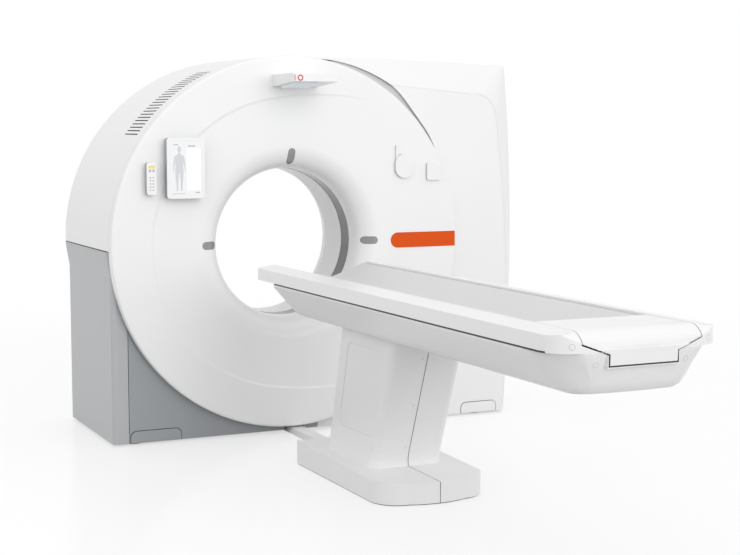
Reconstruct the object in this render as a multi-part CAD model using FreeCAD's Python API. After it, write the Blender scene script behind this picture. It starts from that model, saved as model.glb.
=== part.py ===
import FreeCAD, Part
import math
import os

# Computed-tomography scanner, millimetres. +Z is up, +X is to the right of someone
# who faces the gantry, and +Y runs from the table into the bore.
# The origin is on the floor, under the gantry's front seam and the bore axis.

V = FreeCAD.Vector
UP = V(0, 0, 1)
OUT = "parts"

# ---- Driving dimensions ------------------------------------------------------

# Bore and gantry
BORE_R = 340.0              # radius of the patient bore
BORE_Z = 876.0              # height of the bore axis
DISC_FOOT = 32.0            # the round front cover ends this far above the floor
DISC_R = BORE_Z - DISC_FOOT
FACE_Y = -62.0              # front plane of the round cover
SEAM_Y = -20.0              # seam behind the round cover
PANEL_Y = -8.0              # front plane of the lower and wing panels
REAR_Y = 727.0              # rear plane of the gantry
WALL = 4.0                  # wall of the moulded covers
EDGE_BEVEL = 10.0           # round edge of the front cover
CREASE_R = 668.0            # where the flat ring turns into the funnel
DISH_DEPTH = 4.0            # the dish falls by this towards the lip
LIP_ROUND = 100.0           # radius of the lip that rolls into the bore
LIP_R = BORE_R + LIP_ROUND
LIP_Y = FACE_Y + DISH_DEPTH
BAND_Y0 = 73.0              # scan window band in the bore
BAND_Y1 = 165.0
BAND_STEP = 1.5             # the band sits this much deeper than the liner
LINER_Y1 = 350.0            # rear end of the straight bore
REAR_FUNNEL_R = 660.0       # rear funnel mouth
SHELL_DRAW = 4.0            # the shell opens by this to the rear
SHELL_REAR_R = DISC_R + SHELL_DRAW
FLOOR_GAP = 8.0             # covers end this far above the floor

# Left side
SIDE_INSET = 12.0           # side cover's face inside the round cover's radius
SIDE_X = SIDE_INSET - DISC_R
SIDE_FLARE = 18.0           # its upper facet leans out by this
SIDE_FLARE_Z = BORE_Z - 129.0       # foot of the upper facet
SIDE_TOP_Z = BORE_Z - 18.0  # top edge of the upper facet
SIDE_CORNER_R = 22.0        # round front corner
SIDE_SEAM_X = SIDE_X + 70.0 # seam to the lower front panel
LOWER_SEAM_X = 141.0        # seam between lower panel and wing panel
COVER_SEAM = 2.5            # gap between side cover and lower panel
SIDE_TOP_T = 4.0            # top flange of the side cover
COVER_LAP = 44.0            # panels run in behind the round cover by this
HIDDEN_R = DISC_R - COVER_LAP

# Vent slots in the shell
VENT_COUNT = 24
VENT_FIRST_DEG = 144.3      # angle of the lowest slot, from +X towards +Z
VENT_PITCH_DEG = 1.3
VENT_Y0 = 50.0
VENT_Y1 = 243.0
VENT_WIDTH = 6.0

# Service wing on the right
WING_X = 1162.0             # side face at floor and top
WING_BOW = 42.0             # the side bows out by this at half height
WING_TOP_L = BORE_Z + DISC_R - 1.0  # roof edge height on the left
WING_TOP_R = WING_TOP_L - 19.0      # roof edge height on the right
WING_FACE_TOP_L = WING_TOP_L - 117.0    # border step heights
WING_FACE_TOP_R = WING_TOP_R - 140.0
WING_BORDER = 78.0          # border step to the side face, at the top
WING_BORDER_MID = 60.0      # at the height of the bore
WING_BORDER_FLOOR = 24.0    # and at the floor
WING_LEFT_X = 176.0         # roof joint between round shell and wing
WING_LIP = 16.0             # lip that the front panel lies on
WING_SEAM = 0.5             # gap between the border and the front panel
WING_CHAMFER_Y = 58.0       # depth of the sloped border
WING_ROOF_X = 486.0         # the roof is level up to here
WING_CORNER_R = 12.0        # top right corner of the outer edge
STEP_CORNER = (134.0, 85.0) # width and height of the same corner at the border step
REVEAL_X = 154.5            # the crescent reveal beside the front cover is a round
REVEAL_Z = BORE_Z + 197.8   # recess about this point
REVEAL_R = DISC_R - 204.0
REVEAL_DEPTH = 14.0
REVEAL_DEGS = (20.0, 80.0)

# Floor flaps
FLAP_H = 56.0
FLAP_CORNER_R = 28.0
FLAP_GAP = 2.5
FLAP_LAP = 6.0              # the flap's back lies this far behind the panel
FLAP_LEFT = (SIDE_SEAM_X + 5.0, SIDE_SEAM_X + 243.0)
FLAP_RIGHT = (901.0, 1100.0)

# Laser windows, badge, docks on the front cover
LASER_EDGE = 17.0           # from the bore to the laser slots
LASER_L = 73.0
LASER_R0 = BORE_R + LASER_EDGE
LASER_R1 = LASER_R0 + LASER_L
LASER_W = 36.0
BADGE_X0 = 496.0
BADGE_X1 = DISC_R - EDGE_BEVEL
BADGE_Z0 = BORE_Z - 38.0
BADGE_Z1 = BORE_Z + 33.0
BADGE_T = 1.2
TABLET_X = (-604.0, -432.0)
TABLET_Z = (BORE_Z + 214.0, BORE_Z + 478.0)
TABLET_T = 34.0
TABLET_R = 14.0
SCREEN_INSET = 12.0
SCREEN_T = 2.0
DOCK_T = 12.0               # docks stand this far off the cover
REMOTE_X = (-692.0, -647.0)
REMOTE_Z = (BORE_Z + 232.0, BORE_Z + 372.0)
REMOTE_T = 24.0
REMOTE_R = 12.0
OVAL_X = (514.0, 608.0)
OVAL_Z = (BORE_Z + 289.0, BORE_Z + 401.0)
OVAL_NECK_Z = BORE_Z + 442.0
OVAL_NECK_W = 12.0
SQUARE_X = (679.0, 751.0)
SQUARE_Z = (BORE_Z + 276.0, BORE_Z + 358.0)
SQUARE_R = 10.0

# Overhead unit
HEAD_X = (-93.0, 123.0)
HEAD_FRONT_Y = -302.0
HEAD_Z0 = BORE_Z + DISC_R - 122.0
HEAD_Z1 = HEAD_Z0 + 36.0
HEAD_ROOT_DROP = 20.0       # underside falls this much towards the cover
HEAD_EDGE_R = 6.0
LAMP_X = (-72.0, 48.0)
LAMP_Y = (-250.0, -110.0)
LAMP_T = 12.0
RING_X = -59.0
RING_Z = HEAD_Z0 + 15.0
RING_R = 13.0
RING_HOLE_R = 8.5
RING_T = 2.0

# Gantry frame
RAIL_H = 60.0               # floor rails of the base frame
FOOT_H = 12.0               # pads under the rails
RAIL_W = 90.0
FOOT_R = 45.0
ANCHOR_D = 18.0
FRAME_X0 = SIDE_X + 62.0
FRAME_X1 = WING_X - 122.0
FRAME_Y0 = 20.0
FRAME_Y1 = 690.0
FRONT_BEAM_W = 36.0
STANDOFF_W = 30.0
MIDDLE_RAIL_X = 700.0
LOWER_STANDOFFS = (-420.0, -260.0, 100.0)
WING_STANDOFFS = (260.0, 560.0, 840.0)
STATOR_Y0 = 395.0
STATOR_T = 30.0
STATOR_R = DISC_R - 38.0
ARM_DEGS = (72.0, 105.0, 165.0)     # arms that carry the round shell
SHELL_ARM_W = 60.0
SIDE_ARM_Z = (400.0, 520.0)         # arm that carries the side cover
GUSSET_X = 620.0
GUSSET_T = 30.0
GUSSET_H = 560.0

# Power rack in the wing
RACK_GAP = 32.0             # beside the round body
RACK_W = 180.0
RACK_Y = (70.0, 640.0)
RACK_TOP_Z = 1380.0
RACK_BAYS = 5
RACK_EDGE = 14.0
HANDLE_H = 12.0

# Rotor
ROTOR_R0 = BORE_R + 52.0
ROTOR_R1 = STATOR_R - 20.0  # outside of the drum
ROTOR_Y0 = 60.0             # front edge of the drum
ROTOR_Y1 = 322.0            # rear face of the rotor plate
ROTOR_PLATE_T = 22.0
DRUM_T = 14.0
SLIP_DRUM_T = 62.0          # collector drum with its tracks
SLIP_CLEAR = 10.0           # between the drum and the main bearing
SLIP_R0 = ROTOR_R0 + 8.0
SLIP_R1 = SLIP_R0 + SLIP_DRUM_T
BEARING_IN_W = 48.0
BEARING_OUT_W = 62.0
BEARING_L = 40.0
BEARING_OUT_L = 62.0
BEARING_FIT = 0.05          # radial clearance of the running surface
BEARING_R = SLIP_R1 + SLIP_CLEAR + BEARING_IN_W     # running surface
STATOR_HOLE_R = BEARING_R + 25.0
PLATE_HOLE_R = 58.0         # lightening holes of the rotor plate
PLATE_HOLES_AT = BEARING_R + 70.0
SLIP_TRACKS = 5
SLIP_TRACK_W = 7.0
SLIP_TRACK_STEP = 3.0
SLIP_L = 54.0
BRUSH_GAP = 0.4
BRUSH_DEG = 135.0
MOTOR_R0 = ROTOR_R1 - 146.0 # ring motor: magnets on the rotor, coils on the stator
MOTOR_R1 = MOTOR_R0 + 60.0
MOTOR_AIR = 1.0
MOTOR_L = 50.0
MOTOR_POLES = 36
SCAN_Y = 119.0              # plane of the X-ray fan
TUBE_CENTRE_R = ROTOR_R1 - 176.0
TUBE_R = 92.0
TUBE_LEN = 200.0
FOCUS_R = TUBE_CENTRE_R - 70.0
DETECTOR_R = FOCUS_R + 465.0        # arc radius about the focus
DETECTOR_T = 62.0
DETECTOR_HALF_DEG = 26.0
DETECTOR_W = 76.0
DETECTOR_FINS = 11
COLLIMATOR_TOP_W = 140.0
COLLIMATOR_FOOT_W = 224.0
COLLIMATOR_L = 96.0
UNIT_R0 = ROTOR_R0 + 48.0   # boxes beside the tube
UNIT_R1 = ROTOR_R1 - 56.0
UNIT_W = 300.0
UNIT_RIB_H = 12.0
FAN_T = 30.0
FAN_R = 56.0
FAN_DEGS = (120.0, 129.5, 139.0)

# Patient table
TABLE_HALF_W = 303.0        # at the slot under the rims
RIM_CREASE_X = TABLE_HALF_W - 5.0
RIM_CREASE_Z = 801.5
RIM_INNER_X = TABLE_HALF_W - 89.5
RIM_TOP_Z = 812.0
SLOT_Z = 750.0
SLOT_H = 4.0
SLOT_FOOT_Y = -2694.0       # the slot ends here, the rims' corners rest on the tub
TUB_WALL = 4.0
TUB_BOTTOM_Z = 618.0
TUB_HEAD_Y = -558.0
TUB_FOOT_Y = -2766.0
NOSE_Y = -381.0             # head end of rims and board
FOOT_SLOPE_Y = -2700.0      # the top starts to fall here towards the foot
FOOT_FALL = 55.0            # and falls by this
LID_CORNER = (100.0, 100.0) # foot corner of the rims in plan, across and along
TUB_CORNER = (101.0, 200.0) # foot corner of the tub, with a crease at the end face
HEAD_CORNER = 34.0
CAP_HEAD_Y = -2486.0
CAP_GAP = 4.0
CAP_T = 14.0
CAP_END_L = 34.0            # the slanting seams cut this deep into the end
CAP_SEAM_Z = 777.0          # the cap's seam turns here, slants over the end face
TONGUE_HALF_W = TABLE_HALF_W - 184.0
CAP_SEAM_FOOT = (TONGUE_HALF_W + 15.0, 749.0)
TONGUE_TOP_Z = 744.0        # and runs down beside the tongue from here
TONGUE_Z = 710.0
TONGUE_T = 10.0
BOARD_HALF_W = RIM_INNER_X - 8.5
BOARD_LOW_Z = 746.0         # top of the board on its centre line
BOARD_R = 236.0
BOARD_SIDE_DEG = 20.0
BOARD_T = 16.0
BOARD_GAP = 3.0             # to the foot cap
BOARD_CLEAR = 5.0           # to the notch in the tub's head wall
RAIL_X0 = RIM_INNER_X - 4.5
RAIL_X1 = RAIL_X0 + 27.0
RAIL_FOOT_X = RAIL_X1 + 26.0
RAIL_FOOT_Y = -2640.0       # foot end of the rails
SHELF_X = RAIL_X0 - 29.0
SHELF_Z = 769.0
SHELF_T = 5.0
SLIDE_BED_Y = (-2000.0, -1560.0)    # belt drive on the tub's floor
SLIDE_BED_W = 140.0
SLIDE_BED_T = 8.0
SLIDE_H = 96.0
SLIDE_MOTOR_R = 42.0
SLIDE_MOTOR_L = 150.0
RUNNER_X0 = SHELF_X + 2.0
RUNNER_X1 = RAIL_X0 - 6.0
SLIDE_GAP = 0.3

# Pedestal
LEAN_DEG = 18.0             # lift axis from vertical, leaning away from the gantry
COLUMN_HALF_W = 156.0
COLUMN_R = 42.0
COLUMN_FOOT_Z = 118.0
COLUMN_TOP_Z = 608.0
COLUMN_FOOT_Y = (-1226.0, -796.0)
COLUMN_TOP_Y = (-1421.0, -926.0)
BASE_HALF_W = 229.0
BASE_REAR_Y = -656.0
BASE_FRONT_Y = -1500.0
BASE_REAR_Z = 102.0
BASE_FRONT_Z = 82.0
BASE_CORNER_R = 110.0
BASE_BULGE = 22.0
SPLIT_GAP = 1.2             # between the two pedestal halves
PLATE_T = 25.0
PANEL_RECESS = 2.0
PANEL_Z = (214.0, 558.0)
PANEL_CORNER_R = 40.0
PANEL_MARGIN = (30.0, 105.0)
MAST_HALF_W = 78.0
MAST_HALF_L = 105.0
MAST_WALL = 10.0
MAST_FIT = 0.3
MAST_AXIS_Y = -1010.0       # lift axis at floor level
MAST_TOP_Z = 570.0
MAST_INNER_Z = 250.0
FLANGE_REACH = (52.0, 60.0) # the mast's foot flange stands out by this
FLANGE_T = 12.0
LIFT_GAP = 10.0             # lift drive, beside that flange
LIFT_W = 120.0
LIFT_L = 110.0
LIFT_H = 50.0
LIFT_MOTOR_R = 34.0
HEAD_PLATE_Z = (700.0, 727.0)
ARM_X0 = 112.0
ARM_W = 60.0
ARM_OFFSET = 115.0
OPENING_CLEAR = 14.0
DUCT_HALF_W = 42.0
DUCT_X = 25.0
DUCT_H = 26.0
DUCT_SLOPE = 12.0           # its sides draw in by this
DUCT_GAP = 6.0

# ---- Helpers -----------------------------------------------------------------


def outline(points, place):
    """Closed wire: (a, b) is a straight run, (mid_a, mid_b, a, b) an arc."""
    edges = []
    at = place(*points[0][-2:])
    for item in points[1:] + points[:1]:
        to = place(*item[-2:])
        if len(item) == 4:
            edges.append(Part.Arc(at, place(*item[:2]), to).toShape())
        elif at.distanceToPoint(to) > 1e-6:
            edges.append(Part.makeLine(at, to))
        at = to
    return Part.Wire(edges)


def box(x0, x1, y0, y1, z0, z1):
    return Part.makeBox(x1 - x0, y1 - y0, z1 - z0, V(x0, y0, z0))


def prism(points, y0, y1):
    """XZ outline, extruded along Y."""
    face = Part.Face(outline(points, lambda x, z: V(x, y0, z)))
    return face.extrude(V(0, y1 - y0, 0))


def plan(points, z0, z1):
    """XY outline, extruded along Z."""
    face = Part.Face(outline(points, lambda x, y: V(x, y, z0)))
    return face.extrude(V(0, 0, z1 - z0))


def side(points, x0, x1):
    """YZ outline, extruded along X."""
    face = Part.Face(outline(points, lambda y, z: V(x0, y, z)))
    return face.extrude(V(x1 - x0, 0, 0))


def turned(points, start=0.0, sweep=360.0):
    """(radius, y) outline turned about the bore axis, from +X towards +Z."""
    centre = V(0, 0, BORE_Z)
    face = Part.Face(outline(points, lambda r, y: V(r, y, BORE_Z)))
    solid = face.revolve(centre, V(0, -1, 0), sweep)
    solid.rotate(centre, V(0, -1, 0), start)
    return solid


def ring(r0, r1, y0, y1):
    return turned([(r0, y0), (r1, y0), (r1, y1), (r0, y1)])


def disc(r, y0, y1, x=0.0, z=BORE_Z):
    return Part.makeCylinder(r, y1 - y0, V(x, y0, z), V(0, 1, 0))


def around(shape, degrees):
    copy = shape.copy()
    copy.rotate(V(0, 0, BORE_Z), V(0, -1, 0), degrees)
    return copy


def mirrored(shape):
    return shape.mirror(V(0, 0, 0), V(1, 0, 0))


def rounded(x0, x1, z0, z1, r):
    """Rounded rectangle as outline points."""
    k = r * (1 - math.sqrt(0.5))
    return [
        (x0 + r, z0), (x1 - r, z0), (x1 - k, z0 + k, x1, z0 + r),
        (x1, z1 - r), (x1 - k, z1 - k, x1 - r, z1),
        (x0 + r, z1), (x0 + k, z1 - k, x0, z1 - r),
        (x0, z0 + r), (x0 + k, z0 + k, x0 + r, z0),
    ]


def stadium(r0, r1, width):
    """Slot outline that runs outwards along +X at the height of the bore axis."""
    h = width / 2
    return [
        (r0 + h, BORE_Z - h), (r1 - h, BORE_Z - h), (r1, BORE_Z, r1 - h, BORE_Z + h),
        (r0 + h, BORE_Z + h), (r0, BORE_Z, r0 + h, BORE_Z - h),
    ]


def one_solid(shape):
    """The shape with its coplanar faces joined, as a plain solid where it is one."""
    shape = shape.removeSplitter()
    return shape.Solids[0] if len(shape.Solids) == 1 else shape


def save(name, shape):
    shape = one_solid(shape)
    if not shape.isValid() or not shape.Solids:
        print("BAD", name)
    print(f"{name:22s} solids {len(shape.Solids)} volume {shape.Volume / 1e6:9.3f} l")
    shape.exportStep(os.path.join(OUT, name + ".step"))


# ---- Gantry covers -------------------------------------------------------------


def dish_path(shift):
    """Dish from the crease over the lip to the scan window; shift moves it into the wall."""
    round_y = LIP_Y + LIP_ROUND
    reach = (LIP_ROUND - shift) * math.sqrt(0.5)
    return [
        (CREASE_R, FACE_Y + shift), (LIP_R, LIP_Y + shift),
        (LIP_R - reach, round_y - reach, BORE_R + shift, round_y),
        (BORE_R + shift, BAND_Y0),
    ]


def front_cover_blank(lift=0.0):
    """Dished round cover; lift moves its outer skin forward, for what lies on it."""
    k = EDGE_BEVEL * (1 - math.sqrt(0.5))
    outer = [
        (DISC_R, SEAM_Y), (DISC_R, FACE_Y + EDGE_BEVEL),
        (DISC_R - k, FACE_Y + k, DISC_R - EDGE_BEVEL, FACE_Y),
    ]
    inner = list(reversed([
        (DISC_R - WALL, SEAM_Y), (DISC_R - WALL, FACE_Y + EDGE_BEVEL),
        (DISC_R - EDGE_BEVEL, FACE_Y + WALL),
    ]))
    crease, lip, bend, end = dish_path(WALL)
    reverse = [end, bend[2:], bend[:2] + lip, crease]
    shape = turned(outer + dish_path(0.0) + reverse + inner)
    shape.translate(V(0, -lift, 0))
    return shape


def front_cover(blank):
    cover = blank
    for degrees in (0, 90, 180):
        slot = prism(stadium(LASER_R0, LASER_R1, LASER_W), FACE_Y - 10, BAND_Y0)
        cover = cover.cut(around(slot, degrees))
    flange = ring(DISC_R - 26, DISC_R - WALL, SEAM_Y - 6, SEAM_Y)
    return cover.fuse(flange)


def laser_window(blank, degrees):
    plug = prism(stadium(LASER_R0, LASER_R1, LASER_W), FACE_Y - 10, BAND_Y0)
    return around(plug, degrees).common(blank)


def scan_window():
    r = BORE_R + BAND_STEP
    return ring(r, r + WALL, BAND_Y0, BAND_Y1)


def bore_liner():
    skin = ring(BORE_R, BORE_R + WALL, BAND_Y1, LINER_Y1)
    rib = ring(BORE_R + WALL, BORE_R + 14, BAND_Y1 + 4, BAND_Y1 + 8)
    return skin.fuse(rib)


def rear_cover():
    r = BORE_R
    mouth = REAR_FUNNEL_R
    end = REAR_Y
    t = WALL
    outer_r = SHELL_REAR_R
    cover = turned([
        (r, LINER_Y1), (r + 26, LINER_Y1 + 95, r + 90, LINER_Y1 + 210),
        (r + 180, end - 62, mouth, end), (outer_r, end), (outer_r, end - t),
        (mouth - t, end - t), (r + 180 + t, end - 62 - t, r + 90 + t, LINER_Y1 + 210 - t),
        (r + 26 + t, LINER_Y1 + 95 - t, r + t, LINER_Y1),
    ])
    x = SIDE_X
    beyond = prism([
        (x - 200, 0), (x, 0), (x, SIDE_FLARE_Z), (x - SIDE_FLARE, SIDE_TOP_Z),
        (x - 200, SIDE_TOP_Z)], end - t - 1, end + 1)
    return cover.cut(beyond)


def shell_solid(inset):
    """Round body behind the front cover, opening a little to the rear."""
    end = REAR_Y - WALL
    return turned([
        (0.0, SEAM_Y), (DISC_R - inset, SEAM_Y), (SHELL_REAR_R - inset, end), (0.0, end),
    ])


def vent_slot(index):
    """One slot across the shell, with round ends."""
    h = VENT_WIDTH / 2
    centre = V(DISC_R - 30, VENT_Y0 + h, BORE_Z)
    reach = 60.0
    slot = box(centre.x, centre.x + reach, VENT_Y0 + h, VENT_Y1 - h, BORE_Z - h, BORE_Z + h)
    for y in (VENT_Y0 + h, VENT_Y1 - h):
        slot = slot.fuse(Part.makeCylinder(h, reach, V(centre.x, y, BORE_Z), V(1, 0, 0)))
    return around(slot, VENT_FIRST_DEG - index * VENT_PITCH_DEG)


def shell_vented():
    """Upper left half of the round body, with its row of vent slots."""
    skin = shell_solid(0.0).cut(shell_solid(WALL))
    keep = box(-DISC_R - 60, 0, SEAM_Y, REAR_Y, SIDE_TOP_Z + 4, BORE_Z + DISC_R + 60)
    keep = keep.fuse(box(0, WING_LEFT_X - 1, SEAM_Y, REAR_Y, BORE_Z, BORE_Z + DISC_R + 60))
    skin = skin.common(keep)
    slots = vent_slot(0)
    for index in range(1, VENT_COUNT):
        slots = slots.fuse(vent_slot(index))
    flange = ring(DISC_R - 30, DISC_R - WALL / 2, SEAM_Y, SEAM_Y + 6).common(keep)
    return skin.cut(slots).fuse(flange)


def side_wall(x, z):
    """Plan of the side cover's wall at height z, with its front return."""
    r = SIDE_CORNER_R
    t = WALL
    outer_k = r * (1 - math.sqrt(0.5))
    inner_k = t + (r - t) * (1 - math.sqrt(0.5))
    return outline([
        (SIDE_SEAM_X, PANEL_Y), (x + r, PANEL_Y),
        (x + outer_k, PANEL_Y + outer_k, x, PANEL_Y + r), (x, REAR_Y - t),
        (x + t, REAR_Y - t), (x + t, PANEL_Y + r),
        (x + inner_k, PANEL_Y + inner_k, x + r, PANEL_Y + t), (SIDE_SEAM_X, PANEL_Y + t),
    ], lambda px, py: V(px, py, z))


def side_cover():
    """Grey lower side cover: flared upper facet, round front corner, top flange."""
    x = SIDE_X
    top_x = x - SIDE_FLARE
    foot = Part.Face(side_wall(x, FLOOR_GAP)).extrude(V(0, 0, SIDE_FLARE_Z - FLOOR_GAP))
    facet = Part.makeLoft([side_wall(x, SIDE_FLARE_Z), side_wall(top_x, SIDE_TOP_Z)], True, True)
    r = SIDE_CORNER_R
    flange = box(top_x + WALL / 2, -STATOR_R, PANEL_Y + r, REAR_Y - WALL,
                 SIDE_TOP_Z - SIDE_TOP_T, SIDE_TOP_Z)
    front = box(top_x + r, -STATOR_R, PANEL_Y + WALL / 2, PANEL_Y + r,
                SIDE_TOP_Z - SIDE_TOP_T, SIDE_TOP_Z)
    cover = foot.fuse(facet).fuse(flange).fuse(front)
    return cover.cut(disc(HIDDEN_R, PANEL_Y - 1, PANEL_Y + WALL + 1))


def flap_outline(span, gap):
    x0, x1 = span
    r = FLAP_CORNER_R
    k = r * (1 - math.sqrt(0.5))
    top = FLOOR_GAP + FLAP_H - gap
    return [
        (x0 + gap, FLOOR_GAP), (x1 - gap, FLOOR_GAP), (x1 - gap, top - r),
        (x1 - gap - k, top - k, x1 - gap - r, top), (x0 + gap + r, top),
        (x0 + gap + k, top - k, x0 + gap, top - r),
    ]


def floor_flap(span):
    """Front plate in its cut-out, on a wider back that lies behind the panel."""
    front = prism(flap_outline(span, FLAP_GAP), PANEL_Y, PANEL_Y + WALL)
    back = prism(flap_outline(span, -FLAP_LAP), PANEL_Y + WALL, PANEL_Y + WALL + 2)
    return front.fuse(back)


def standoffs(places):
    """Blocks between the front panels and the front beam of the frame."""
    h = STANDOFF_W / 2
    blocks = [box(x - h, x + h, PANEL_Y + WALL, FRAME_Y0, FOOT_H + 18, FOOT_H + RAIL_H - 6)
              for x in places]
    return blocks[0].multiFuse(blocks[1:])


def lower_panel():
    """Lower front panel, left of the wing panel, in behind the round cover."""
    top = BORE_Z - 170
    sheet = box(SIDE_SEAM_X + COVER_SEAM, LOWER_SEAM_X - 1, PANEL_Y, PANEL_Y + WALL,
                FLOOR_GAP, top)
    sheet = sheet.cut(disc(HIDDEN_R, PANEL_Y - 1, PANEL_Y + WALL + 1))
    opening = prism(flap_outline(FLAP_LEFT, 0.0), PANEL_Y - 1, PANEL_Y + WALL)
    g = DUCT_GAP
    duct = box(DUCT_X - DUCT_HALF_W - g, DUCT_X + DUCT_HALF_W + g, PANEL_Y - 1,
               PANEL_Y + WALL + 1, 0, DUCT_H + g)
    return sheet.fuse(standoffs(LOWER_STANDOFFS)).cut(opening).cut(duct)


def wing_points(inset, border):
    """Wing outline in XZ; border pulls it in to the step on the front."""
    share = border / WING_BORDER
    x = WING_X - inset - border
    floor_x = WING_X - inset - WING_BORDER_FLOOR * share
    bow = WING_X + WING_BOW - inset - WING_BORDER_MID * share
    left = WING_LEFT_X - 76
    drop_l = (WING_TOP_L - WING_FACE_TOP_L) * share + inset
    drop_r = (WING_TOP_R - WING_FACE_TOP_R) * share + inset
    top_r = WING_TOP_R - drop_r
    w = WING_CORNER_R + (STEP_CORNER[0] - WING_CORNER_R) * share
    h = WING_CORNER_R + (STEP_CORNER[1] - WING_CORNER_R) * share
    k = 1 - math.sqrt(0.5)
    return [
        (left, FLOOR_GAP), (floor_x, FLOOR_GAP), (bow, BORE_Z, x, top_r - h),
        (x - w * k, top_r - h * k, x - w, top_r), (WING_ROOF_X, WING_TOP_L - drop_l),
        (left, WING_TOP_L - drop_l),
    ]


def wing_body(inset):
    front = outline(wing_points(inset, WING_BORDER), lambda x, z: V(x, PANEL_Y + inset, z))
    outer = outline(wing_points(inset, 0.0), lambda x, z: V(x, PANEL_Y + WING_CHAMFER_Y, z))
    bevel = Part.makeLoft([front, outer], True, True)
    body = prism(wing_points(inset, 0.0), PANEL_Y + WING_CHAMFER_Y, REAR_Y - WALL)
    return bevel.fuse(body)


def reveal_round(grow):
    """The round recess beside the front cover, as a plug through the wing's front."""
    return disc(REVEAL_R + grow, PANEL_Y - 5, PANEL_Y + WING_CHAMFER_Y + 20, REVEAL_X, REVEAL_Z)


def wing_shell():
    """Sloped border, roof and bowed right side of the wing, in one moulding."""
    shell = wing_body(0.0).cut(wing_body(WALL)).cut(reveal_round(0.0))
    y = PANEL_Y + WALL
    lip = prism(wing_points(-3.0, WING_BORDER), y, y + WALL).common(wing_body(0.0))
    shell = shell.fuse(lip.cut(reveal_round(WALL)))
    shell = shell.cut(prism(wing_points(1.0, WING_BORDER), PANEL_Y - 5, y))
    shell = shell.cut(prism(wing_points(WING_LIP, WING_BORDER), y - 1, PANEL_Y + 40))
    shell = shell.cut(disc(SHELL_REAR_R + 1, PANEL_Y - 5, REAR_Y + 5))
    floor_cut = box(-DISC_R, WING_X - 12, PANEL_Y - 5, REAR_Y + 5, -5, FLOOR_GAP + 2 * WALL + 12)
    left_cut = box(-DISC_R, WING_LEFT_X, PANEL_Y - 5, REAR_Y + 5, -5, WING_TOP_L + 50)
    flap = prism(flap_outline(FLAP_RIGHT, -FLAP_LAP - 1), PANEL_Y, PANEL_Y + 40)
    return shell.cut(floor_cut).cut(left_cut).cut(flap)


def wing_front():
    """Flat front panel of the wing, with the cut-out for its floor flap."""
    panel = prism(wing_points(1.0 + WING_SEAM, WING_BORDER), PANEL_Y, PANEL_Y + WALL)
    panel = panel.cut(disc(HIDDEN_R, PANEL_Y - 1, PANEL_Y + WALL + 1))
    panel = panel.cut(box(-DISC_R, LOWER_SEAM_X + 1, PANEL_Y - 1, PANEL_Y + WALL + 1,
                          -5, WING_TOP_L))
    panel = panel.cut(reveal_round(0.0))
    opening = prism(flap_outline(FLAP_RIGHT, 0.0), PANEL_Y - 1, PANEL_Y + WALL)
    return panel.fuse(standoffs(WING_STANDOFFS)).cut(opening)


def reveal_panel():
    """Grey crescent pan: a web behind the wing's face, with a rim up to its back."""
    pan = wing_body(WALL).common(reveal_round(WALL))
    pan = pan.cut(reveal_round(0.0).cut(wing_body(REVEAL_DEPTH)))
    pan = pan.cut(wing_body(REVEAL_DEPTH + WALL))
    start, end = REVEAL_DEGS
    wedge = turned([
        (HIDDEN_R, PANEL_Y - 10), (DISC_R + 100, PANEL_Y - 10),
        (DISC_R + 100, PANEL_Y + 150), (HIDDEN_R, PANEL_Y + 150)], start, end - start)
    right = box(WING_LEFT_X, WING_X, PANEL_Y - 10, PANEL_Y + 150, BORE_Z, WING_TOP_L)
    return pan.common(wedge).common(right)


def rear_panel():
    """Flat rear skin below and beside the round rear cover."""
    y0 = REAR_Y - WALL
    right = wing_points(1.0, 0.0)
    points = [(SIDE_X + 1, FLOOR_GAP)] + right[1:5] + [
        (WING_LEFT_X, WING_TOP_L - 1), (WING_LEFT_X, BORE_Z), (-WING_LEFT_X, BORE_Z),
        (SIDE_X + 1, BORE_Z - 30),
    ]
    return prism(points, y0, REAR_Y).cut(disc(SHELL_REAR_R, y0 - 1, REAR_Y + 1))


# ---- What hangs on the front cover ----------------------------------------------


def on_cover(points, reach, blank_fill):
    """A body that stands off the cover by reach and is cut to lie on it."""
    return prism(points, FACE_Y - reach, FACE_Y + 40).cut(blank_fill)


def cover_fill():
    """Everything behind the outer skin of the round cover."""
    path = dish_path(0.0)
    return turned([(DISC_R, SEAM_Y), (DISC_R, FACE_Y)] + path + [(BORE_R, BAND_Y0 + 200),
                  (DISC_R, BAND_Y0 + 200)])


def badge_plate(fill):
    h = (BADGE_Z1 - BADGE_Z0) / 2
    z = (BADGE_Z1 + BADGE_Z0) / 2
    points = [
        (BADGE_X0 + h, BADGE_Z0), (BADGE_X1, BADGE_Z0), (BADGE_X1, BADGE_Z1),
        (BADGE_X0 + h, BADGE_Z1), (BADGE_X0, z, BADGE_X0 + h, BADGE_Z0),
    ]
    lifted = fill.copy()
    lifted.translate(V(0, -BADGE_T, 0))
    return prism(points, FACE_Y - 10, FACE_Y + 40).common(lifted).cut(fill)


def tablet_dock(fill):
    x0, x1 = TABLET_X
    z0, z1 = TABLET_Z
    return on_cover(rounded(x0 + 30, x1 - 30, z0 + 40, z1 - 40, 16.0), DOCK_T, fill)


def tablet_case():
    y1 = FACE_Y - DOCK_T
    y0 = y1 - TABLET_T
    x0, x1 = TABLET_X
    z0, z1 = TABLET_Z
    case = prism(rounded(x0, x1, z0, z1, TABLET_R), y0, y1)
    s = SCREEN_INSET
    return case.cut(prism(rounded(x0 + s, x1 - s, z0 + s, z1 - s, 5.0), y0 - 1, y0 + SCREEN_T))


def tablet_screen():
    y0 = FACE_Y - DOCK_T - TABLET_T
    x0, x1 = TABLET_X
    z0, z1 = TABLET_Z
    s = SCREEN_INSET
    return prism(rounded(x0 + s, x1 - s, z0 + s, z1 - s, 5.0), y0 + 0.5, y0 + SCREEN_T)


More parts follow.
